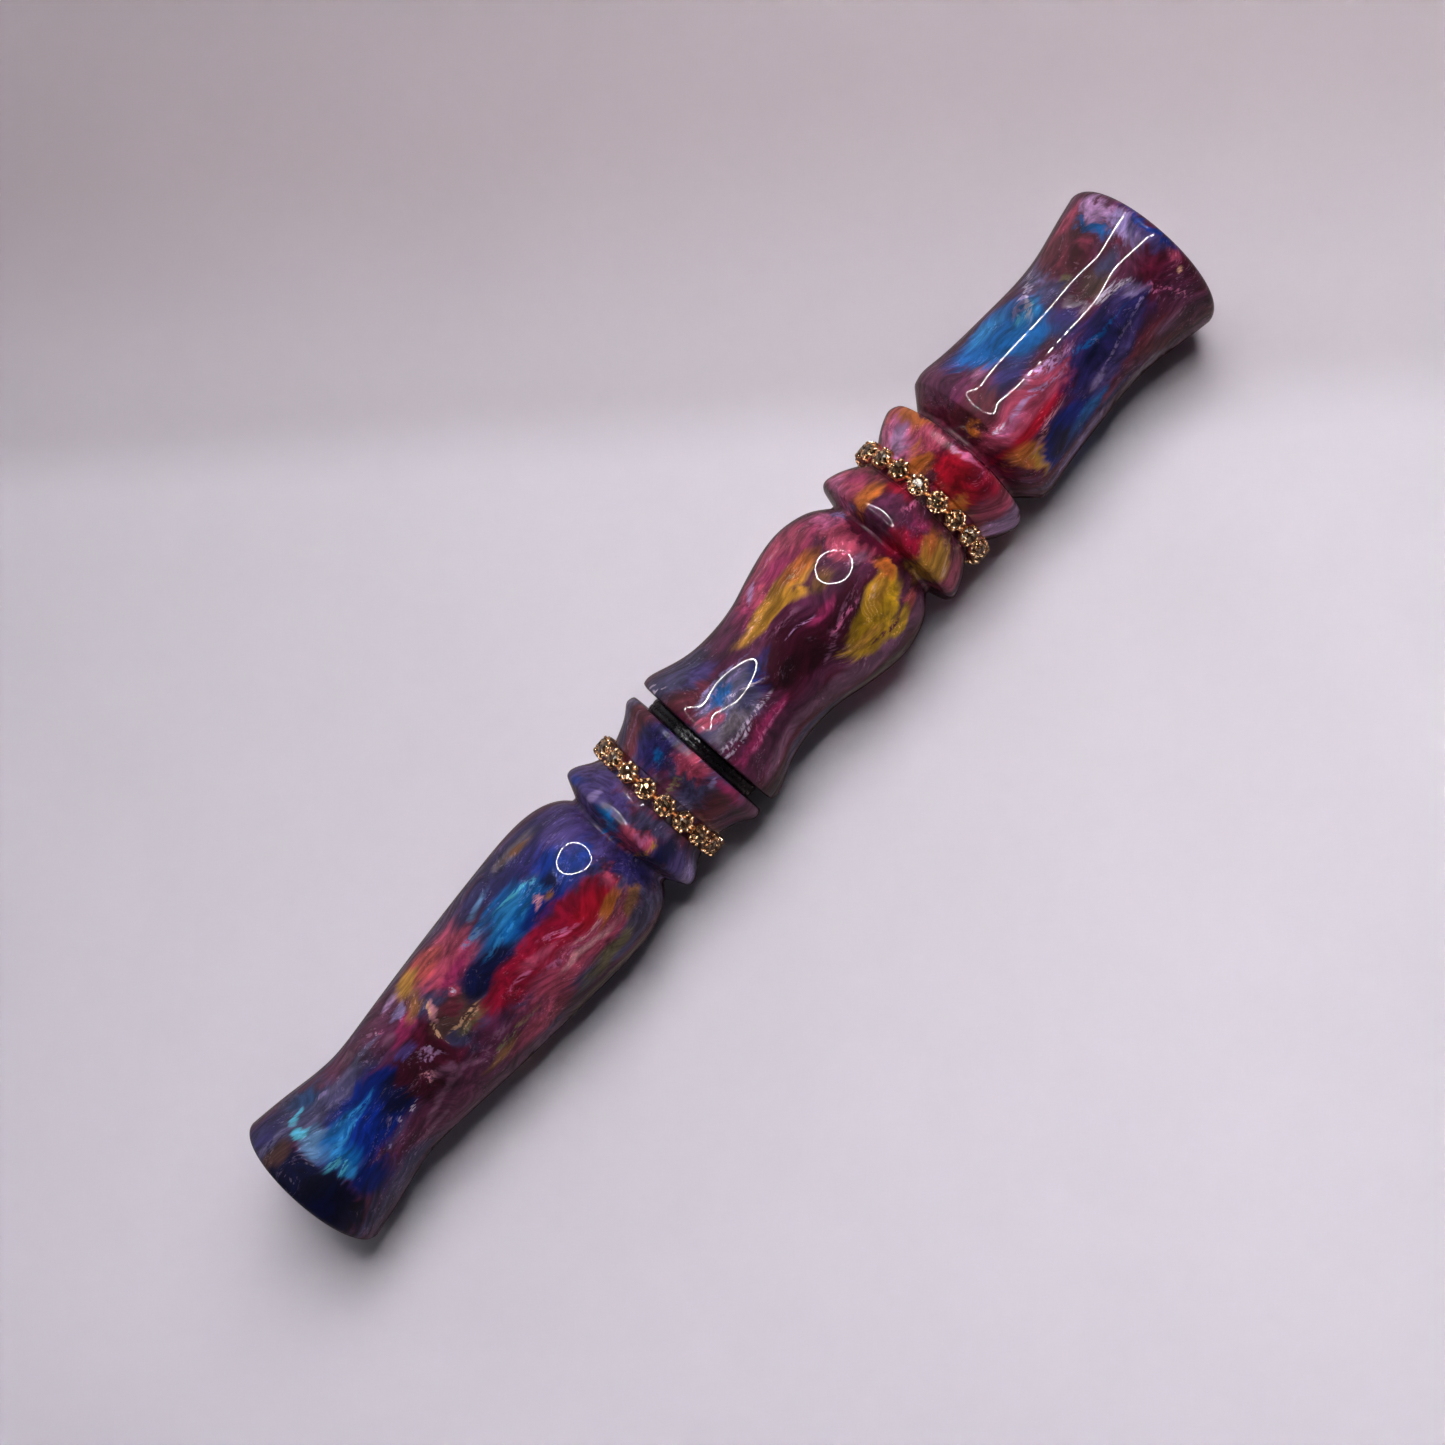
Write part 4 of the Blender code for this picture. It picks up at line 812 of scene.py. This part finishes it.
def spin_into(shape, outline, steps, matrix):
    """Adds a form turned about Z from (radius, height) points whose first and last are on the axis."""
    rings = []
    for radius, height in outline:
        rings.append([shape.verts.new(matrix @ around(radius, 2 * math.pi * k / steps, height))
                      for k in range(steps if radius else 1)])
    bridge(shape, rings, steps)


def tube_into(shape, path, radii, matrix):
    """Adds a bar along the path, with its ends closed to a point."""
    rings = []
    for i, point in enumerate(path):
        before, after = path[max(i - 1, 0)], path[min(i + 1, len(path) - 1)]
        along = (after - before).normalized()
        side = along.orthogonal().normalized()
        other = along.cross(side)
        ring = []
        for k in range(BAR_SIDES):
            spot = around(radii[i], 2 * math.pi * k / BAR_SIDES)
            ring.append(shape.verts.new(matrix @ (point + side * spot.x + other * spot.y)))
        rings.append(ring)
    tips = []
    for end, inward in ((path[0], path[1]), (path[-1], path[-2])):
        tips.append([shape.verts.new(matrix @ (end + (end - inward).normalized() * radii[-1] * BAR_TIP))])
    bridge(shape, [tips[0], *rings, tips[1]], BAR_SIDES)


def cup_matrix(middle, back, number, tilt=0.0, spin=0.0):
    """From a cup's own millimetres, back at z = 0, to its place on the chain."""
    angle = 2 * math.pi * number / CUP_COUNT
    turn = Euler((angle, 0, 0)).to_matrix() @ Euler((tilt, tilt * 0.6, spin)).to_matrix()
    return Matrix.Translation(place(middle, back, angle)) @ turn.to_4x4() @ Matrix.Scale(MM, 4)


def stone_mesh():
    """A round brilliant: an eight-sided table, a ring of eight points turned between it, and a girdle."""
    shape = bmesh.new()
    culet, under, over, middle, table = STONE_HEIGHTS
    for k in range(16):
        for height in (under, over):
            shape.verts.new(around(STONE_GIRDLE_R, math.pi * (k + 0.5) / 8, height))
    for k in range(8):
        shape.verts.new(around(STONE_MIDDLE_R, math.pi * k / 4, middle))
        shape.verts.new(around(STONE_TABLE_R, math.pi * (k + 0.5) / 4, table))
        shape.verts.new(around(STONE_CULET_R, math.pi * (k + 0.5) / 4, culet))
    bmesh.ops.convex_hull(shape, input=shape.verts)
    bmesh.ops.dissolve_limit(shape, angle_limit=0.002, verts=shape.verts, edges=shape.edges)
    return mesh_from(shape, "stone")


def make_chain(on, metal, stone, draw):
    """The cups and links round one half, as one piece of metal, and the stones, each a little askew."""
    middle, floor = BANDS[on]
    back = floor + CHAIN_CLEARANCE
    shape = bmesh.new()
    for number in range(CUP_COUNT):
        matrix = cup_matrix(middle, back, number)
        spin_into(shape, CUP_OUTLINE, CUP_SIDES, matrix)
        for prong in range(PRONGS):
            angle = 2 * math.pi * (prong + 0.5) / PRONGS
            tube_into(shape, [around(r, angle, z) for r, z in PRONG_PATH], PRONG_RADII, matrix)
        # The link to the next cup: a bar with a bead in its middle.
        half = math.pi / CUP_COUNT
        start = 2 * math.pi * number / CUP_COUNT
        bar = [place(middle, back + LINK_HEIGHT, start + half * part) for part in LINK_PARTS]
        tube_into(shape, bar, [radius * MM for radius in LINK_RADII], Matrix.Identity(4))
    bmesh.ops.recalc_face_normals(shape, faces=shape.faces)
    mesh = mesh_from(shape, on + "_cup_chain")
    mesh.materials.append(metal)
    mesh.shade_smooth()
    mesh.set_sharp_from_angle(angle=math.radians(50))
    chain = add_object(on + "_cup_chain", mesh)
    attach(chain, on)
    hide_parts(on + "_band")
    made = [chain]
    for number in range(CUP_COUNT):
        gem = add_object(f"{on}_cut_stone_{number + 1:02d}", stone)
        gem.matrix_world = cup_matrix(
            middle, back, number, draw.uniform(-0.05, 0.05), draw.uniform(0, math.pi / 4))
        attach(gem, on)
        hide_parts(f"{on}_stone_{number + 1:02d}")
        made.append(gem)
    return made


# ---- reeds ----

REED_CORNER, REED_EDGE = 0.0022, 0.00005    # radii of the tip's corners and of the edges, in metres


def make_reeds(film):
    """Two thin films with square roots and rounded tips, in the boxes of the CAD's reeds."""
    for node in ("bottom_reed", "top_reed"):
        low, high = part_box(node)
        half = (high.y - low.y) / 2
        tip = quarter(high.x - REED_CORNER, half - REED_CORNER, REED_CORNER, 90, 12)
        outline = [(low.x, half), *tip, *[(x, -y) for x, y in tip[::-1]], (low.x, -half)]
        shape = bmesh.new()
        face = shape.faces.new([shape.verts.new((x, y, low.z)) for x, y in outline])
        lifted = bmesh.ops.extrude_face_region(shape, geom=[face], use_keep_orig=True)["geom"]
        upper = [v for v in lifted if isinstance(v, bmesh.types.BMVert)]
        bmesh.ops.translate(shape, verts=upper, vec=(0, 0, high.z - low.z))
        bmesh.ops.recalc_face_normals(shape, faces=shape.faces)
        mesh = mesh_from(shape, node + "_film")
        mesh.materials.append(film)
        reed = add_object(node + "_film", mesh)
        bevel = reed.modifiers.new("edge", "BEVEL")
        bevel.width = REED_EDGE
        bevel.segments = 2
        bevel.limit_method = "ANGLE"
        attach(reed, "reeds")
        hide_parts(node)


def refinish_nodes():
    for node, material in (("tone_board", board_finish()), ("cork_wedge", cork_finish())):
        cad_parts[node].material_slots[0].material = material


# ---- table, light and camera ----

def table_finish():
    """White card, darker in the part the light doesn't reach, far up the picture.
    To rays off the polish it is painted darker, a painted reflection of dark wood, like what the
    photographed call lies on."""
    tree = Tree("pale_table")
    spot = tree.object_place()
    cloud = tree.noise(spot, 6.0, 3.0)
    colour = tree.mix(tree.range(cloud, 0.3, 0.7), srgb(232, 228, 238), srgb(236, 232, 242))
    _, up = picture_axes()
    from_call = tree.vector("SUBTRACT", spot_in_world(tree), tuple(MIDDLE))
    away = tree.vector("DOT_PRODUCT", from_call, tuple(up), "Value")
    # painted shade: the table is darker in steps toward the top of the picture, where the light doesn't
    # reach
    far = tree.mix(tree.range(away, 0.05, 0.1), srgb(200, 194, 202), srgb(186, 176, 182))
    colour = tree.mix(tree.range(away, -0.09, 0.03), colour, srgb(222, 218, 227))
    colour = tree.mix(tree.range(away, 0.036, 0.05), colour, far)
    # painted reflection: rays off the polish see the table dark, like wood
    mirrored = tree.add("ShaderNodeLightPath", output="Is Glossy Ray")
    colour = tree.mix(mirrored, colour, srgb(124, 110, 112))
    tree.set(Base_Color=colour, Roughness=0.6, Normal=tree.bump(tree.noise(spot, 900.0, 3.0), 0.05, 0.0001))
    return tree.material


def spot_in_world(tree):
    return tree.add("ShaderNodeNewGeometry", output="Position")


def make_table():
    """A plain table that touches the mouth rim and the insert's widest place, so it leans a little."""
    bulge_x, bulge_r = INSERT_BODY[8]
    rim_x, _ = MOUTHPIECE[-1]
    lean = math.atan2(RIM_R - bulge_r, rim_x - bulge_x)
    bpy.ops.mesh.primitive_plane_add(size=6.0, location=place(rim_x, RIM_R, math.pi))
    table = bpy.context.object
    table.name = "table"
    table.rotation_euler = (0, lean, 0)
    table.data.materials.append(table_finish())


def light_direction():
    """From the call's middle to the ring's, one long along the camera's direction."""
    return (TO_CAMERA + UPHILL * math.tan(math.radians(RING_ANGLE))
            + Vector((math.tan(math.radians(RING_LEAN)), 0, 0)))


def make_ring_light():
    """A ring of small lamps over the call, seen only by its light and in the polish."""
    shape = bmesh.new()
    for dot in range(RING_DOTS):
        turn = 2 * math.pi * dot / RING_DOTS
        spot = Matrix.Rotation(turn, 4, "Z") @ Matrix.Translation((RING_RADIUS, 0, 0))
        bmesh.ops.create_circle(shape, cap_ends=True, segments=10, radius=RING_DOT_RADIUS, matrix=spot)
    mesh = mesh_from(shape, "ring_light")
    tree = Tree("ring_lamps")
    mirrored = tree.add("ShaderNodeLightPath", output="Is Glossy Ray")
    strength = tree.math("MULTIPLY_ADD", mirrored, RING_STRENGTH * MIRRORED_GAIN, RING_STRENGTH)
    tree.set(Base_Color=(0, 0, 0, 1), Emission_Color=(1.0, 0.965, 0.985, 1), Emission_Strength=strength)
    mesh.materials.append(tree.material)
    ring = add_object("ring_light", mesh)
    ring.location = MIDDLE + light_direction() * RING_DISTANCE
    ring.rotation_euler = light_direction().to_track_quat("Z", "Y").to_euler()
    ring.visible_camera = False


def add_soft_light(name, direction, distance, size, power, colour=(1.0, 0.985, 1.0)):
    """A large lamp that lights without showing in the polish."""
    lamp = bpy.data.lights.new(name, "AREA")
    lamp.shape = "DISK"
    lamp.size = size
    lamp.energy = power
    lamp.color = colour
    light = add_object(name, lamp)
    light.location = MIDDLE + direction.normalized() * distance
    light.rotation_euler = direction.to_track_quat("Z", "Y").to_euler()
    light.visible_glossy = False
    return light


def make_world():
    """A dim room with a white wall beyond the table, which the polish mirrors low down."""
    world = bpy.data.worlds.new("studio")
    bpy.context.scene.world = world
    world.use_nodes = True
    nodes, links = world.node_tree.nodes, world.node_tree.links
    background = nodes["Background"]
    background.inputs["Color"].default_value = (0.86, 0.82, 0.88, 1.0)
    split = nodes.new("ShaderNodeSeparateXYZ")
    links.new(nodes.new("ShaderNodeTexCoord").outputs["Generated"], split.inputs[0])
    wall = nodes.new("ShaderNodeMapRange")
    wall.interpolation_type = "SMOOTHSTEP"
    links.new(split.outputs["Y"], wall.inputs["Value"])
    for key, value in {"From Min": 0.45, "From Max": 0.8, "To Min": 0.05, "To Max": 0.4}.items():
        wall.inputs[key].default_value = value
    links.new(wall.outputs[0], background.inputs["Strength"])


def add_sparkle(sparkling):
    """Window light that only the chains and stones catch, for their glints."""
    caught = bpy.data.collections.new("sparkling")
    bpy.context.scene.collection.children.link(caught)
    for made in sparkling:
        caught.objects.link(made)
    for name, direction, size, power in SPARKLE_LIGHTS:
        light = add_soft_light(name, direction, SPARKLE_DISTANCE, size, power, SPARKLE_COLOUR)
        light.visible_glossy = True
        light.light_linking.receiver_collection = caught


def make_light(sparkling):
    make_world()
    make_ring_light()
    add_soft_light("overhead", light_direction(), distance=0.9, size=0.6, power=4.0)
    add_sparkle(sparkling)
    bpy.context.scene.view_settings.view_transform = "Standard"


def picture_axes():
    """The picture's right and up in the world."""
    slope = math.radians(CALL_SLOPE)
    along = Vector((1.0, 0.0, 0.0))
    return (along * math.cos(slope) - UPHILL * math.sin(slope),
            along * math.sin(slope) + UPHILL * math.cos(slope))


def make_camera():
    right, up = picture_axes()
    data = bpy.data.cameras.new("camera")
    data.lens = CAMERA_LENS
    data.clip_start = 0.01
    camera = add_object("camera", data)
    spot = MIDDLE + right * CAMERA_OFFSET[0] + up * CAMERA_OFFSET[1] + TO_CAMERA * CAMERA_DISTANCE
    camera.matrix_world = Matrix.Translation(spot) @ Matrix((right, up, TO_CAMERA)).transposed().to_4x4()
    bpy.context.scene.camera = camera


def main():
    draw = random.Random(7)
    rubber = rubber_finish()
    metal = metal_finish()
    stone = stone_mesh()
    stone.materials.append(stone_finish())
    make_camera()
    make_barrel()
    make_insert()
    make_joint_ring(rubber)
    make_o_rings(rubber)
    sparkling = []
    for on in BANDS:
        sparkling += make_chain(on, metal, stone, draw)
    make_reeds(film_finish())
    refinish_nodes()
    make_table()
    make_light(sparkling)


main()
bpy.context.view_layer.update()
